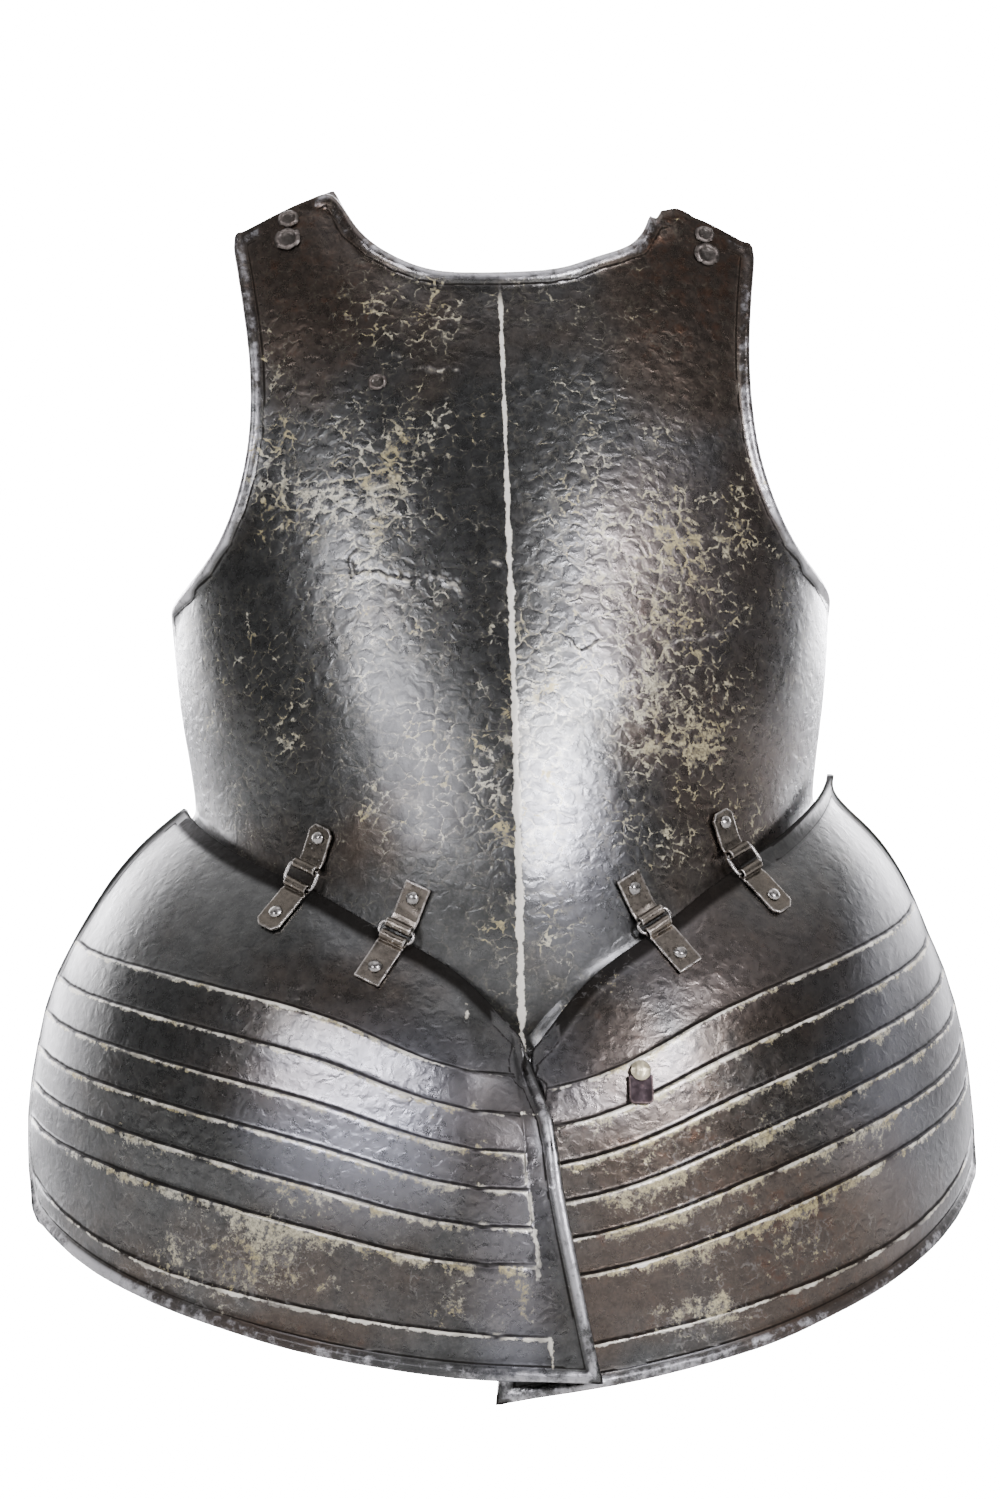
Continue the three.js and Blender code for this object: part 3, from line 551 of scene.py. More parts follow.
def model_strap(node, name, voxel=STRAP_VOXEL):
    """A cut iron strip with worn round corners and uneven faces."""
    obj = merged_copy(node, name)
    folds, ends = fold_angles(obj.data)
    arrises = edge_tree(ends[folds > ARRIS_FOLD], ARRIS_SPACING)
    apply_modifier(obj, "REMESH", mode="VOXEL", voxel_size=voxel, adaptivity=0.0)
    apply_modifier(obj, "SMOOTH", factor=0.5, iterations=3)
    push_out(obj.data, lambda place: noise.noise(place / STRAP_GRAIN) * STRAP_UNEVENNESS)
    smooth(obj)
    edge = distances(arrises, places_of(obj.data))
    set_attribute(obj.data, "rubbed", np.interp(edge, ARRIS_WEAR, (1, 0)))
    return obj


TAB_RADIUS = 0.0046    # the part behind the stud's head stays within this
TAB_NECK = -0.002      # height, from the stud's middle, where that part begins


def model_tab():
    """The small iron tab, its upper end drawn in behind the stud's head."""
    tab = model_strap("stud_tab", "stud_iron_tab", TAB_VOXEL)
    centre, _ = rivet_axis("stud")
    for vertex in tab.data.vertices:
        offset = vertex.co - Vector(centre)
        away = math.hypot(offset.x, offset.z)
        if offset.z > TAB_NECK and away > TAB_RADIUS:
            shrink = TAB_RADIUS / away
            vertex.co.x = centre[0] + offset.x * shrink
            vertex.co.z = centre[2] + offset.z * shrink
    return tab


# A burred head: heights in metres, places and widths as shares of its radius.
RING_HEIGHT, RING_PLACE, RING_WIDTH = 0.0009, 0.74, 0.16
SINK_DEPTH, SINK_RADIUS, SINK_FLOOR = 0.0011, 0.6, 0.8
SPREAD_ACROSS, SPREAD_UP = 0.4, 0.256
RIVET_GRAIN = 0.003    # size of the unevenness of a rivet


def burr(obj, node):
    """Beats a rivet head into a burred ring: its middle sunk, its rim raised unevenly."""
    centre, axis = rivet_axis(node)
    centre, axis = Vector(centre), Vector(axis)
    outward = axis if axis.y < 0 else -axis
    spans = []
    for vertex in obj.data.vertices:
        offset = vertex.co - centre
        along = offset.dot(outward)
        spans.append((along, (offset - outward * along).length))
    face = [(along, away) for along, away in spans if along > 0]
    radius = max(away for _, away in face)
    rubbed = []
    for vertex, (along, away) in zip(obj.data.vertices, spans):
        share = away / radius
        ring = math.exp(-((share - RING_PLACE) / RING_WIDTH) ** 2) if along > 0 else 0.0
        sink = max(0.0, 1 - share / SINK_RADIUS) ** 0.5 if along > 0 else 0.0
        uneven = 0.7 + 0.6 * noise.noise(vertex.co / RIVET_GRAIN)
        vertex.co += outward * (RING_HEIGHT * ring * uneven - SINK_DEPTH * min(sink, SINK_FLOOR))
        if along > 0:
            offset = vertex.co - centre
            flat = offset - outward * offset.dot(outward)
            vertex.co += flat * (SPREAD_ACROSS if abs(flat.x) > abs(flat.z) else SPREAD_UP)
        rubbed.append(ring * uneven)
    set_attribute(obj.data, "rubbed", rubbed)


BEARING_REACH = (0.0074, 0.0080)     # half-length of the worn stretch of a loop's bar, and where it ends
BEARING_SHARE = 0.60   # thickness left there
BAR_FALL = 0.6         # the bar lies below this share of the loop's half-height


def wear_bearing(obj):
    """Thins the lower bar of a loop where it turns in the eye of the lower strap."""
    points = places_of(obj.data)
    centre = points.mean(axis=0)
    _, axes = np.linalg.eigh(np.cov((points - centre).T))
    along, down = axes[:, 2], axes[:, 1]
    down = -down if down[2] > 0 else down
    run = abs((points - centre) @ along)
    fall = (points - centre) @ down
    bar = (fall > BAR_FALL * fall.max()) & (run < BEARING_REACH[1])
    middle = points[bar & (run < BEARING_REACH[0] / 2)].mean(axis=0)
    lengthwise = np.outer((points - middle) @ along, along)
    radial = points - middle - lengthwise
    share = np.interp(run, BEARING_REACH, (BEARING_SHARE, 1))
    points = np.where(bar[:, None], middle + lengthwise + radial * share[:, None], points)
    put_places(obj.data, points)


LOOP_FATTEN = 0.00012  # gives back what subdivision takes off a loop's wire


def model_loop(node, name):
    obj = merged_copy(node, name)
    edit(obj)
    join_triangles(60)
    bpy.ops.transform.shrink_fatten(value=LOOP_FATTEN)
    end_edit()
    subdivide(obj)
    wear_bearing(obj)
    smooth(obj)
    return obj


HEAD_FOLD, HEAD_CREASE = 55, 0.4     # an edge of a rivet folded more than this is kept this sharp


def model_rivet(node, name, unevenness=0.00018):
    obj = merged_copy(node, name)
    edit(obj)
    join_triangles(40)
    end_edit()
    folds, _ = fold_angles(obj.data)
    set_attribute(obj.data, "crease_edge", np.where(folds > HEAD_FOLD, HEAD_CREASE, 0.0), "EDGE")
    subdivide(obj)
    push_out(obj.data, lambda place: noise.noise(place / RIVET_GRAIN) * unevenness)
    smooth(obj)
    return obj


# ---- materials ----
class Net:
    """Adds and links nodes in one tree."""

    def __init__(self, tree):
        self.tree = tree

    def node(self, kind, inputs=(), **settings):
        node = self.tree.nodes.new("ShaderNode" + kind)
        for key, value in settings.items():
            setattr(node, key, value)
        for key, value in dict(inputs).items():
            self.put(node.inputs[key], value)
        return node

    def put(self, socket, value):
        if isinstance(value, bpy.types.NodeSocket):
            self.tree.links.new(value, socket)
        elif socket.type == "RGBA":
            socket.default_value = (*value[:3], 1)
        else:
            socket.default_value = value

    def math(self, operation, first, second=0.0, clamp=False):
        node = self.node("Math", {0: first, 1: second}, operation=operation, use_clamp=clamp)
        return node.outputs[0]

    def chain(self, operation, first, *others):
        for other in others:
            first = self.math(operation, first, other)
        return first

    product = partialmethod(chain, "MULTIPLY")
    total = partialmethod(chain, "ADD")
    most = partialmethod(chain, "MAXIMUM")

    def ramp(self, value, low, high, to_low=0.0, to_high=1.0):
        """Smoothly from to_low at low to to_high at high."""
        inputs = {"Value": value, "From Min": low, "From Max": high, "To Min": to_low, "To Max": to_high}
        return self.node("MapRange", inputs, interpolation_type="SMOOTHSTEP").outputs["Result"]

    def noise(self, vector, size, detail=3.0, roughness=0.55):
        inputs = {"Vector": vector, "Scale": 1 / size, "Detail": detail, "Roughness": roughness}
        return self.node("TexNoise", inputs).outputs["Fac"]

    def mix(self, factor, first, second, blend="MIX"):
        node = self.node("Mix", data_type="RGBA", blend_type=blend)
        for index, value in ((0, factor), (6, first), (7, second)):
            self.put(node.inputs[index], value)
        return node.outputs[2]

    def attribute(self, name):
        return self.node("Attribute", attribute_name=name).outputs["Fac"]

    def axes(self, vector):
        return self.node("SeparateXYZ", {"Vector": vector}).outputs

    def stretch(self, vector, factors):
        return self.node("Mapping", {"Vector": vector, "Scale": factors}).outputs["Vector"]

    def warp(self, vector, size, amount):
        """The vector pushed about by noise, for lines that wander."""
        push = self.node("TexNoise", {"Vector": vector, "Scale": 1 / size, "Detail": 2.0}).outputs["Color"]
        centred = self.node("VectorMath", {0: push, 1: (0.5, 0.5, 0.5)}, operation="SUBTRACT").outputs[0]
        scaled = self.node("VectorMath", {0: centred, "Scale": amount}, operation="SCALE").outputs[0]
        return self.node("VectorMath", {0: vector, 1: scaled}, operation="ADD").outputs[0]

    def bump(self, height, distance, strength, normal=None):
        inputs = {"Height": height, "Distance": distance, "Strength": strength}
        if normal is not None:
            inputs["Normal"] = normal
        return self.node("Bump", inputs).outputs["Normal"]

    def effect(self, name, inputs):
        node = self.node("Group", node_tree=bpy.data.node_groups[name])
        for key, value in inputs.items():
            self.put(node.inputs[key], value)
        return node.outputs


def new_material(name):
    material = bpy.data.materials.new(name)
    material.use_nodes = True
    material.node_tree.nodes.clear()
    net = Net(material.node_tree)
    shader = net.node("BsdfPrincipled")
    output = net.node("OutputMaterial")
    material.node_tree.links.new(shader.outputs["BSDF"], output.inputs["Surface"])
    return material, net, shader.inputs


def new_effect(name, inputs, outputs):
    """Makes a node group: a Vector, numbers (with defaults) and colours (None) go in; numbers and a Color
    come out. Returns its net, and the sockets inside it."""
    group = bpy.data.node_groups.new(name, "ShaderNodeTree")
    group.interface.new_socket(name="Vector", in_out="INPUT", socket_type="NodeSocketVector")
    for label, default in inputs.items():
        kind = "NodeSocketColor" if default is None else "NodeSocketFloat"
        socket = group.interface.new_socket(name=label, in_out="INPUT", socket_type=kind)
        if default is not None:
            socket.default_value = default
    for label in outputs:
        kind = "NodeSocketColor" if label == "Color" else "NodeSocketFloat"
        group.interface.new_socket(name=label, in_out="OUTPUT", socket_type=kind)
    entry = group.nodes.new("NodeGroupInput")
    result = group.nodes.new("NodeGroupOutput")
    return Net(group), entry.outputs, result.inputs


# Colours of light and dark places.
# Painted highlight: lighter colours for the sheen spots, cool on grey steel and warm on brown
PAINTED_SHEEN_COOL, PAINTED_SHEEN_WARM = (0.40, 0.405, 0.44), (0.30, 0.235, 0.17)
FAINT_WEAR = (0.36, 0.33, 0.23)
# Painted shade: near-black colour for creases, grooves, rims, the waist flange and the dull spots
PAINTED_SHADE = (0.012, 0.010, 0.008)
TARNISHED_CREAM = (0.50, 0.42, 0.20)
LINE_CREAM = (0.92, 0.88, 0.74)
ROLL_SILVER = (0.62, 0.61, 0.60)
RUST_SPECKS = (0.16, 0.085, 0.045)
MARK_SIZE = 0.0082     # width of a cell of worn hammer marks
COAT_ROUGHNESS = 0.22


def worn_marks_effect():
    """Bright wear along the edges between hammer marks: broken wandering lines, joined into patches."""
    net, given, result = new_effect("worn_marks", {"Coverage": 0.5}, ("Mask", "Faint", "Height"))
    place = given["Vector"]
    warped = net.warp(net.warp(place, 0.009, 0.011), 0.0024, 0.0026)
    slanted = net.stretch(warped, (0.85, 1.0, 1.25))
    cells = net.node("TexVoronoi", {"Vector": slanted, "Scale": 1 / MARK_SIZE}, feature="DISTANCE_TO_EDGE")
    edge = cells.outputs["Distance"]
    broken = net.noise(place, 0.008, 4.0, 0.62)
    patch = net.noise(place, 0.030, 3.0, 0.5)
    uneven = net.product(net.math("SUBTRACT", patch, 0.5), 0.9)
    amount = net.total(broken, uneven, net.product(given["Coverage"], 0.42))
    width = net.ramp(amount, 0.60, 1.15, 0.0, 0.14)
    ragged = net.noise(place, 0.0016, 3.0, 0.6)
    threshold = net.product(width, net.ramp(ragged, 0.3, 0.7, 0.35, 1.5))
    gap = net.math("SUBTRACT", threshold, edge)
    pieces = net.ramp(net.noise(place, 0.0048, 2.0, 0.5), 0.42, 0.56)
    lines = net.product(net.ramp(gap, -0.01, 0.05), net.most(pieces, net.ramp(amount, 0.9, 1.1)))
    mottle = net.noise(place, 0.0042, 5.0, 0.68)
    dense = net.total(net.product(amount, 0.6), net.product(mottle, 0.75))
    mask = net.most(lines, net.ramp(dense, 0.97, 1.14, 0.0, 0.75))
    texture = net.ramp(net.noise(place, 0.0013, 4.0, 0.7), 0.3, 0.62, 0.3, 1.0)
    net.put(result["Mask"], net.product(mask, texture))
    faint = net.product(net.ramp(edge, 0.11, 0.0), net.ramp(amount, 0.38, 0.95, 0.0, 0.5))
    net.put(result["Faint"], net.product(faint, net.ramp(ragged, 0.35, 0.65, 0.2, 1.0)))
    net.put(result["Height"], net.ramp(edge, 0.0, 0.42))


def mottled_wear_effect():
    """Powdery pale wear in irregular patches with dark holes."""
    net, given, result = new_effect("mottled_wear", {"Coverage": 0.5}, ("Mask",))
    place = given["Vector"]
    patches = net.noise(net.warp(place, 0.004, 0.003), 0.0055, 8.0, 0.82)
    broad = net.noise(place, 0.026, 3.0, 0.55)
    amount = net.total(net.product(patches, 1.25), net.product(broad, 0.55),
                       net.product(given["Coverage"], 0.42))
    patch = net.ramp(amount, 1.22, 1.34)
    speckle = net.noise(place, 0.0012, 4.0, 0.7)
    holes = net.ramp(net.noise(place, 0.0030, 4.0, 0.65), 0.36, 0.52, 0.15, 1.0)
    powdery = net.product(holes, net.ramp(speckle, 0.32, 0.6, 0.35, 1.0))
    net.put(result["Mask"], net.product(patch, powdery))


def edge_wear_effect():
    """Bright wear beside an edge, from the distance to it, ending raggedly."""
    net, given, result = new_effect(
        "edge_wear", {"Distance": 1.0, "Width": 0.002, "Raggedness": 0.6, "Amount": 1.0}, ("Mask",))
    coarse = net.noise(given["Vector"], 0.014, 3.0, 0.6)
    fine = net.noise(given["Vector"], 0.0028, 4.0, 0.65)
    both = net.total(net.product(coarse, 0.6), net.product(fine, 0.4))
    swing = net.product(net.math("SUBTRACT", both, 0.5), net.product(given["Raggedness"], 9.0))
    reach = net.product(given["Width"], net.total(1.0, swing))
    mask = net.ramp(net.math("SUBTRACT", reach, given["Distance"]), -0.0002, 0.0005)
    net.put(result["Mask"], net.product(mask, given["Amount"]))


def patina_effect():
    """Blotches of cool, warm and rusty dark oxide, and a fine grain."""
    net, given, result = new_effect(
        "patina", {"Cool": None, "Warm": None, "Rust": None, "Brownness": 0.3}, ("Color", "Grain"))
    brownness = given["Brownness"]
    broad = net.noise(given["Vector"], 0.045, 4.0, 0.6)
    middle = net.noise(given["Vector"], 0.009, 4.0, 0.65)
    fine = net.noise(given["Vector"], 0.0016, 3.0, 0.6)
    warmth = net.total(net.product(brownness, 0.55), net.product(broad, 0.7))
    color = net.mix(net.ramp(warmth, 0.36, 0.78), given["Cool"], given["Warm"])
    rusty = net.total(net.product(brownness, 0.22), net.product(middle, 0.8))
    color = net.mix(net.ramp(rusty, 0.58, 0.78, 0.0, 0.75), color, given["Rust"])
    tone = net.total(net.product(middle, 0.7), net.product(fine, 0.3))
    shade = net.product(net.ramp(tone, 0.3, 0.72, 0.68, 1.3), net.ramp(brownness, 0.0, 1.0, 1.0, 0.68))
    net.put(result["Color"], net.mix(1.0, color, shade, "MULTIPLY"))
    net.put(result["Grain"], fine)


def breast_wear(net, place, height, worn, marks):
    """Wear of the breast's ridge and cracks, and painted shade in the cracks' grooves and on its waist
    flange.
    """
    across = net.axes(place)["X"]
    from_ridge = net.most(net.math("ABSOLUTE", across), net.attribute("inside"))
    line = net.effect("edge_wear", {
        "Vector": place, "Distance": from_ridge, "Width": net.ramp(height, -0.09, -0.28, 0.0011, 0.0019),
        "Raggedness": 0.55})["Mask"]
    torn = net.product(net.attribute("torn"), net.ramp(net.noise(place, 0.005), 0.4, 0.6, 0.1, 0.8))
    bright = net.most(net.product(line, net.ramp(height, -0.034, -0.05)), torn)
    # Painted shade on the waist flange and in the sunk grooves of the cracks
    groove = net.most(net.product(net.attribute("flange"), 0.6), net.attribute("split"))
    return bright, groove, net.product(worn, 0.50), marks["Mask"]


def tasset_wear(net, place, worn, marks, rim):
    """Wear and painted shade of a tasset: worn stepped bands, and painted shade at the step feet, rims, top
    edge, outer edges and low roll.
    """
    crest, foot, rolled = map(net.attribute, ("crest", "foot", "rolled"))
    across = net.math("ABSOLUTE", net.axes(place)["X"])
    line = net.effect("edge_wear", {
        "Vector": place, "Distance": crest, "Width": 0.0011, "Raggedness": 0.9,
        "Amount": net.ramp(net.noise(place, 0.03, 3.0, 0.6), 0.36, 0.6, 0.3, 0.95)})["Mask"]
    below = net.ramp(net.math("SUBTRACT", foot, crest), -0.0004, 0.0006)
    # Painted shade: darker at the feet of the steps, along the rims, over the top edge and outer edges, and
    # on the roll away from the middle
    groove = net.most(
        net.ramp(foot, 0.0016, 0.0004),
        net.ramp(rim, 0.0020, 0.0008),
        net.product(net.ramp(rim, 0.0110, 0.0060), net.math("SUBTRACT", 1.0, rolled)),
        net.product(net.ramp(rim, 0.0090, 0.0040), net.ramp(across, 0.17, 0.20)),
        net.product(rolled, net.ramp(across, 0.03, 0.06, 0.0, 0.5)))
    streaks = net.noise(net.stretch(place, (1.0, 1.0, 0.3)), 0.006, 3.0, 0.6)
    reach = net.product(net.ramp(crest, 0.016, 0.0), net.ramp(streaks, 0.34, 0.58, 0.45, 1.2),
                        net.ramp(rim, 0.020, 0.031))
    hanging = net.total(net.product(worn, 0.85), net.product(reach, below, 0.9))
    return net.product(line, below), groove, hanging, net.product(marks["Mask"], 0.15)


def plate_material(name, settings, ridged):
    """Blackened hammered steel, worn pale along its edges and hammer marks, with painted highlights and
    painted shade laid on.
    """
    material, net, surface = new_material(name)
    place = net.node("TexCoord").outputs["Object"]
    height = net.axes(place)["Z"]
    worn, brown, painted_sheen, dull_shade = map(net.attribute, ("worn", "brown", "painted_sheen", "dull_shade"))
    rim, rolled = map(net.attribute, ("rim", "rolled"))
    patina = net.effect("patina", {
        "Vector": place, "Cool": settings.cool_steel, "Warm": settings.warm_steel, "Rust": settings.rust,
        "Brownness": brown})
    marks = net.effect("worn_marks", {"Vector": place, "Coverage": worn})
    if ridged:
        bright, groove, hanging, lined = breast_wear(net, place, height, worn, marks)
    else:
        bright, groove, hanging, lined = tasset_wear(net, place, worn, marks, rim)
    roll = net.product(net.ramp(rim, 0.0074, 0.0060), net.ramp(rim, 0.0022, 0.0036), rolled)
    if not ridged:
        roll = net.product(roll, net.ramp(height, -0.434, -0.446))
    rubbed = net.total(net.noise(place, 0.006, 5.0, 0.7), net.product(net.noise(place, 0.05), 0.7),
                       net.product(net.attribute("polished"), 0.30))
    roll = net.product(roll, net.ramp(rubbed, 0.82, 1.12, 0.03, 0.95))
    # Painted shade in the crease just inside a rolled edge
    crease_shade = net.product(net.ramp(rim, 0.0076, 0.0082), net.ramp(rim, 0.0105, 0.0086), rolled)
    mottled = net.effect("mottled_wear", {"Vector": place, "Coverage": hanging})["Mask"]
    chalky = net.most(lined, mottled, bright)
    bare = net.most(chalky, roll)
    # dark: where painted shade goes, from the creases beside the rolls, the grooves, rims and flange, and the
    # dull spots
    dark = net.most(crease_shade, groove, dull_shade)

    # Painted highlight: the colour goes lighter over the sheen spots
    color = net.mix(net.product(painted_sheen, 0.8), patina["Color"], net.mix(brown, PAINTED_SHEEN_COOL, PAINTED_SHEEN_WARM))
    color = net.mix(net.product(marks["Faint"], 0.85 if ridged else 0.2), color, FAINT_WEAR)
    # Painted shade: the colour goes near black where dark is
    color = net.mix(net.product(dark, 0.85), color, PAINTED_SHADE)
    tarnish = net.ramp(net.noise(place, 0.02, 3.0, 0.5), 0.35, 0.65)
    tarnish = net.math("MAXIMUM", tarnish, net.product(brown, 1.2), clamp=True)
    cream = net.mix(bright, net.mix(tarnish, settings.worn_steel, TARNISHED_CREAM), LINE_CREAM)
    silver = net.mix(net.ramp(chalky, 0.0, 0.5), ROLL_SILVER, cream)
    net.put(surface["Base Color"], net.mix(bare, color, silver))
    net.put(surface["Metallic"], net.ramp(chalky, 0.0, 1.0, 1.0, 0.35))
    gloss = net.ramp(net.noise(place, 0.005, 4.0, 0.6), 0.3, 0.7, 0.25, 0.33)
    net.put(surface["Roughness"], net.total(gloss, net.product(bare, 0.08), net.product(dark, 0.5)))
    # Less coat where shade is painted, so it reflects less there
    unshaded = net.math("SUBTRACT", 1.0, dark, clamp=True)
    net.put(surface["Coat Weight"], net.product(net.ramp(bare, 0.0, 1.0, 0.6, 0.1), unshaded))
    surface["Coat Roughness"].default_value = COAT_ROUGHNESS
    shallow = net.bump(marks["Height"], 0.0004, 0.3)
    net.put(surface["Normal"], net.bump(patina["Grain"], 0.0001, 0.4, shallow))
    return material


def iron_material(name, color, bright, roughness, wear):
    """Small ironwork: dark oxide, rubbed bright at corners and where it bulges (over the range wear)."""
    material, net, surface = new_material(name)
    place = net.node("TexCoord").outputs["Object"]
    patina = net.effect("patina", {
        "Vector": place, "Cool": color, "Warm": tuple(0.9 * value for value in color), "Rust": RUST_SPECKS,
        "Brownness": 0.4})
    bulge = net.node("NewGeometry").outputs["Pointiness"]
    fine = net.noise(place, 0.002, 4.0, 0.65)
    edge = net.ramp(net.total(bulge, net.product(fine, 0.05)), *wear)
    broken = net.ramp(net.noise(place, 0.004), 0.35, 0.6, 0.25, 1.0)
    edge = net.most(edge, net.product(net.attribute("rubbed"), broken))
    net.put(surface["Base Color"], net.mix(edge, patina["Color"], bright))
    surface["Metallic"].default_value = 1.0
    net.put(surface["Roughness"], net.ramp(fine, 0.3, 0.7, roughness - 0.07, roughness + 0.1))
    net.put(surface["Normal"], net.bump(patina["Grain"], 0.0001, 0.7))
    return material


def build_effects():
    """Makes the node groups that the materials share, once."""
    makers = {"worn_marks": worn_marks_effect, "mottled_wear": mottled_wear_effect,
              "edge_wear": edge_wear_effect, "patina": patina_effect}
    for name, make in makers.items():
        if name not in bpy.data.node_groups:
            make()


# ---- operators ----
class CUIRASS_OT_plates(bpy.types.Operator):
    """Models the breast and the two tassets"""
    bl_idname = "cuirass.plates"
    bl_label = "Plates"

    def execute(self, context):
        settings = context.scene.cuirass_plates
        build_effects()
        ridged = plate_material("breast_steel", settings, True)
        stepped = plate_material("tasset_steel", settings, False)
        rivets = [f"rivet_upper_{worn}_{place}" for worn in WORN for place in HINGE_PLACES]
        rivets += [f"shoulder_rivet_{worn}_{place}" for worn in WORN for place in ("upper", "lower")]
        breast = model_plate("breast", "breast_plate", rivets + ["plug_rivet"], settings)
        finish_piece(breast, BREAST_BODY, ["breast"], ridged)
        for worn in WORN:
            rivets = [f"rivet_lower_{worn}_{place}" for place in HINGE_PLACES]
            rivets += ["stud"] if worn == "left" else []
            tasset = model_plate(f"tasset_{worn}", f"{worn}_tasset_plate", rivets, settings)
            finish_piece(tasset, f"{worn}_tasset", [f"tasset_{worn}"], stepped)
        return {"FINISHED"}


class CUIRASS_OT_hinges(bpy.types.Operator):
    """Models the straps, loops and rivets of the four hinges"""
    bl_idname = "cuirass.hinges"
    bl_label = "Hinges"

    def execute(self, context):
        settings = context.scene.cuirass_fittings
        build_effects()
        strap_iron = iron_material("strap_iron", settings.strap_iron,
                                   bright=(0.60, 0.56, 0.50), roughness=0.31, wear=(0.54, 0.64))
        wire_iron = iron_material("wire_iron", settings.wire_iron,
                                  bright=(0.70, 0.68, 0.62), roughness=0.25, wear=(0.5, 0.62))
        for worn in WORN:
            for place in HINGE_PLACES:
                label = f"{worn}_{place}"
                for part, body in (("upper", BREAST_BODY), ("lower", f"{worn}_tasset")):
                    strap = model_strap(f"{part}_strap_{label}", f"{part}_hinge_strap_{label}")
                    finish_piece(strap, body, [f"{part}_strap_{label}"], strap_iron)
                    rivet = model_rivet(f"rivet_{part}_{label}", f"{part}_hinge_rivet_{label}")
                    finish_piece(rivet, body, [f"rivet_{part}_{label}"], wire_iron)
                loop = model_loop(f"loop_{label}", f"hinge_loop_{label}")
                finish_piece(loop, BREAST_BODY, [f"loop_{label}"], wire_iron)
        return {"FINISHED"}


class CUIRASS_OT_fastenings(bpy.types.Operator):
    """Models the shoulder rivets, the plug in the chest, and the stud with its tab"""
    bl_idname = "cuirass.fastenings"
    bl_label = "Rivets and stud"

    def execute(self, context):
        settings = context.scene.cuirass_fittings
        build_effects()
        dark = iron_material("rivet_iron", settings.rivet_iron,
                             bright=(0.27, 0.23, 0.20), roughness=0.45, wear=(0.55, 0.66))
        brass = iron_material("stud_brass", settings.stud_brass,
                              bright=(0.72, 0.68, 0.54), roughness=0.38, wear=(0.52, 0.62))
        names = [f"shoulder_rivet_{worn}_{place}" for worn in WORN for place in ("upper", "lower")]
        for node in names + ["plug_rivet"]:
            rivet = model_rivet(node, f"{node}_head", unevenness=0.0004)
            burr(rivet, node)
            finish_piece(rivet, BREAST_BODY, [node], dark)
        stud = model_rivet("stud", "brass_stud", unevenness=0.0003)
        finish_piece(stud, "left_tasset", ["stud"], brass)
        tab = model_tab()
        purple = iron_material("tab_iron", settings.tab_iron,
                               bright=(0.16, 0.12, 0.11), roughness=0.42, wear=(0.58, 0.7))
        finish_piece(tab, "left_tasset", ["stud_tab"], purple)
        return {"FINISHED"}


class CUIRASS_OT_stage(bpy.types.Operator):
    """Sets the floor, the light and the camera"""
    bl_idname = "cuirass.stage"
    bl_label = "Stage"

    def execute(self, context):
        settings = context.scene.cuirass_stage
        add_floor(settings)
        add_world(context.scene, settings)
        for softbox in SOFTBOXES:
            add_softbox(*softbox)
        add_camera(context.scene, settings)
        return {"FINISHED"}


# Soft lights: bearing from straight ahead (degrees, + to the wearer's left), height over the aim (m),
# width and height (m) and power (W).
SOFTBOXES = (
    ("key_light", 28, 0.70, 0.45, 0.5, 46),
    ("fill_light", -39, 0.70, 0.6, 0.5, 19),
    ("top_light", 0, 2.2, 1.6, 1.2, 8),
)
SOFTBOX_DISTANCE = 2.3
SOFTBOX_COLOR = (0.90, 0.89, 1.0)
STUDIO_COLOR = (0.95, 0.94, 1.0)
FLOOR_SIZE = 40


def add_floor(settings):
    bpy.ops.object.select_all(action="DESELECT")
    bpy.ops.mesh.primitive_plane_add(size=FLOOR_SIZE, location=(0, 0, CAD_BOX[0][2] - settings.floor_gap))
    floor = bpy.context.active_object
    floor.name = "floor"
    bpy.ops.object.transform_apply(location=True, rotation=True, scale=True)
    material, net, surface = new_material("pale_floor")
    surface["Base Color"].default_value = (0.5, 0.5, 0.5, 1)
    surface["Roughness"].default_value = 0.9
    surface["Emission Color"].default_value = (1, 1, 1, 1)
    sight = net.node("LightPath").outputs["Is Camera Ray"]
    net.put(surface["Emission Strength"], net.product(sight, settings.backdrop))
    floor.data.materials.append(material)


def add_world(scene, settings):
    """White behind and at the sides, dark in front, so that the plates' turning sides catch the light."""
    world = bpy.data.worlds.new("studio")
    scene.world = world
    world.use_nodes = True
    world.node_tree.nodes.clear()
    net = Net(world.node_tree)
    split = net.axes(net.node("TexCoord").outputs["Generated"])
    back = net.ramp(split["Y"], 0.30, 0.95)
    back = net.product(net.math("POWER", back, 1.4), settings.back_light,
                       net.ramp(split["Z"], 0.05, 0.55, 1.0, 0.28))
    above = net.product(net.ramp(split["Z"], 0.35, 0.8), net.ramp(split["Y"], -0.5, 0.1), 0.8)
    level = net.total(back, settings.front_light, above)
    studio = net.node("Background", {"Color": STUDIO_COLOR, "Strength": level})
    plain = net.node("Background", {"Color": (1, 1, 1), "Strength": settings.backdrop})
    sight = net.node("LightPath").outputs["Is Camera Ray"]
    mix = net.node("MixShader", {0: sight, 1: studio.outputs[0], 2: plain.outputs[0]})
    output = net.node("OutputWorld")
    world.node_tree.links.new(mix.outputs[0], output.inputs["Surface"])


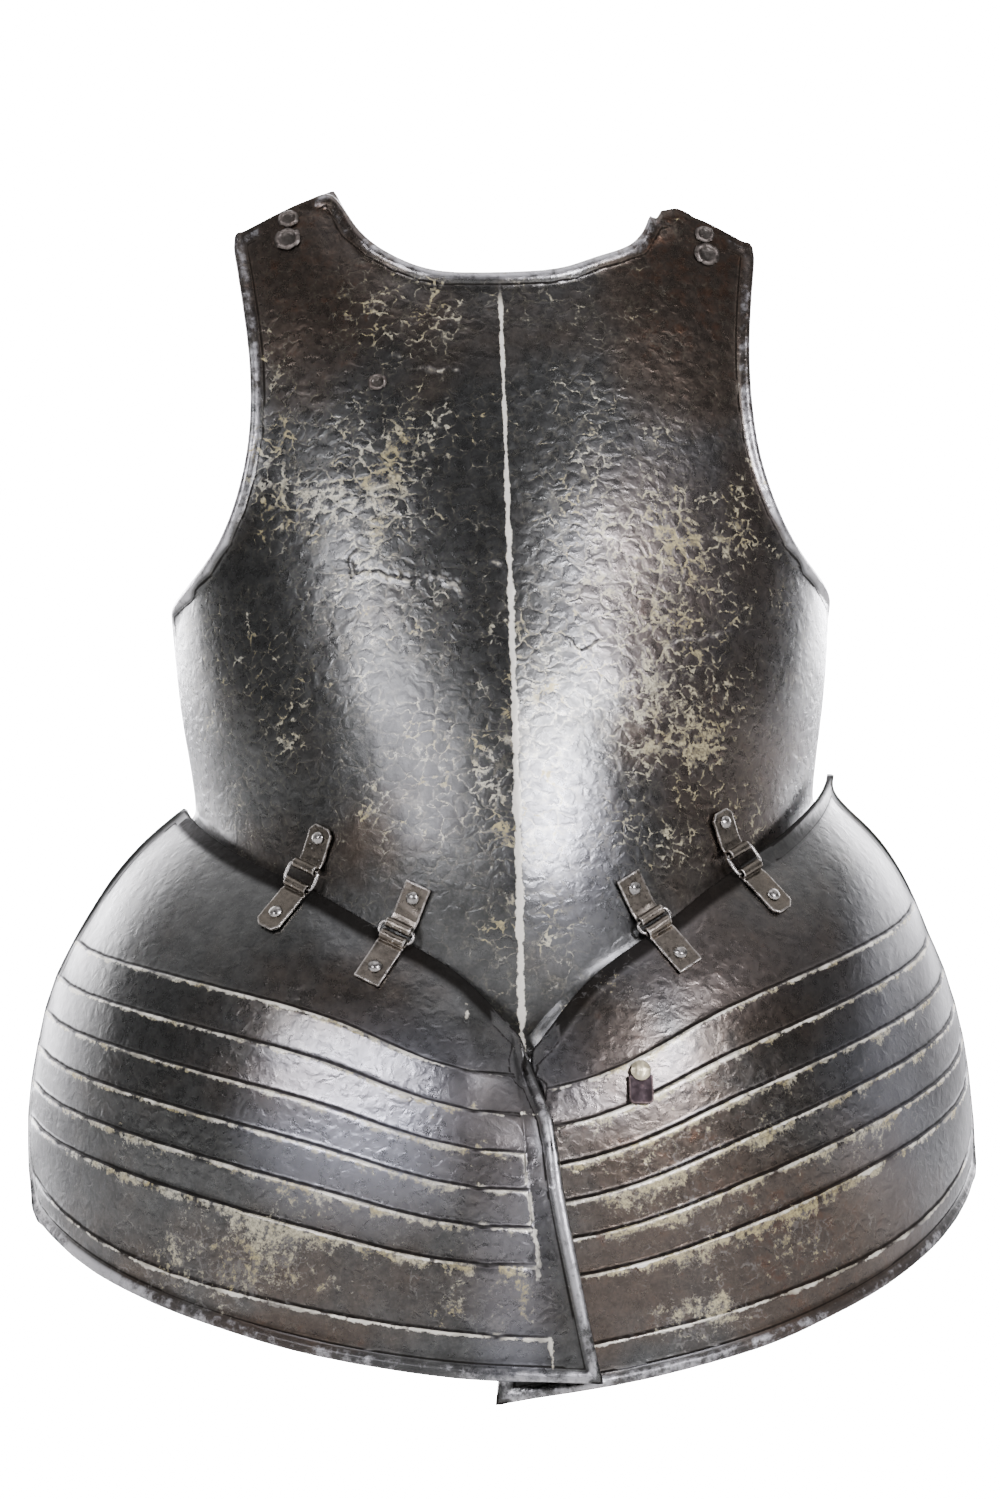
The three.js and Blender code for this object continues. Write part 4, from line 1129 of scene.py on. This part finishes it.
def add_softbox(name, bearing, height, width, tall, power):
    data = bpy.data.lights.new(name, "AREA")
    data.shape = "RECTANGLE"
    data.size = width
    data.size_y = tall
    data.energy = power
    data.color = SOFTBOX_COLOR
    light = bpy.data.objects.new(name, data)
    bpy.context.scene.collection.objects.link(light)
    aim = Vector(bpy.context.scene.cuirass_stage.aim)
    turn = math.radians(bearing)
    away = Vector((math.sin(turn), -math.cos(turn), 0)) * math.sqrt(SOFTBOX_DISTANCE ** 2 - height ** 2)
    light.location = aim + away + Vector((0, 0, height))
    light.rotation_euler = (aim - light.location).to_track_quat("-Z", "Y").to_euler()


def add_camera(scene, settings):
    forward = Vector((math.sin(settings.yaw) * math.cos(settings.elevation),
                      math.cos(settings.yaw) * math.cos(settings.elevation),
                      -math.sin(settings.elevation)))
    aim = Vector(settings.aim)
    data = bpy.data.cameras.new("camera")
    data.sensor_fit = "VERTICAL"
    data.sensor_height = 36
    data.lens = data.sensor_height * settings.distance / settings.view_height
    data.clip_end = 100
    camera = bpy.data.objects.new("camera", data)
    scene.collection.objects.link(camera)
    turn = forward.to_track_quat("-Z", "Y").to_matrix().to_4x4()
    lean = Matrix.Rotation(settings.roll, 4, "Z")
    camera.matrix_world = Matrix.Translation(aim - forward * settings.distance) @ turn @ lean
    scene.camera = camera


class CUIRASS_PT_panel(bpy.types.Panel):
    """Lists the pieces of the cuirass"""
    bl_label = "Cuirass"
    bl_idname = "CUIRASS_PT_panel"
    bl_space_type = "VIEW_3D"
    bl_region_type = "UI"
    bl_category = "Cuirass"

    def draw(self, context):
        for operator in OPERATORS:
            self.layout.operator(operator.bl_idname)


OPERATORS = (CUIRASS_OT_plates, CUIRASS_OT_hinges, CUIRASS_OT_fastenings, CUIRASS_OT_stage)
GROUPS = (("cuirass_plates", CuirassPlates), ("cuirass_fittings", CuirassFittings),
          ("cuirass_stage", CuirassStage))
CLASSES = (CUIRASS_PT_panel, *OPERATORS)


def register():
    for name, group in GROUPS:
        bpy.utils.register_class(group)
        setattr(bpy.types.Scene, name, bpy.props.PointerProperty(type=group))
    for cls in CLASSES:
        bpy.utils.register_class(cls)


def unregister():
    for cls in reversed(CLASSES):
        bpy.utils.unregister_class(cls)
    for name, group in reversed(GROUPS):
        delattr(bpy.types.Scene, name)
        bpy.utils.unregister_class(group)


def main():
    register()
    bpy.ops.cuirass.plates()
    bpy.ops.cuirass.hinges()
    bpy.ops.cuirass.fastenings()
    bpy.ops.cuirass.stage()


if __name__ == "__main__":
    main()
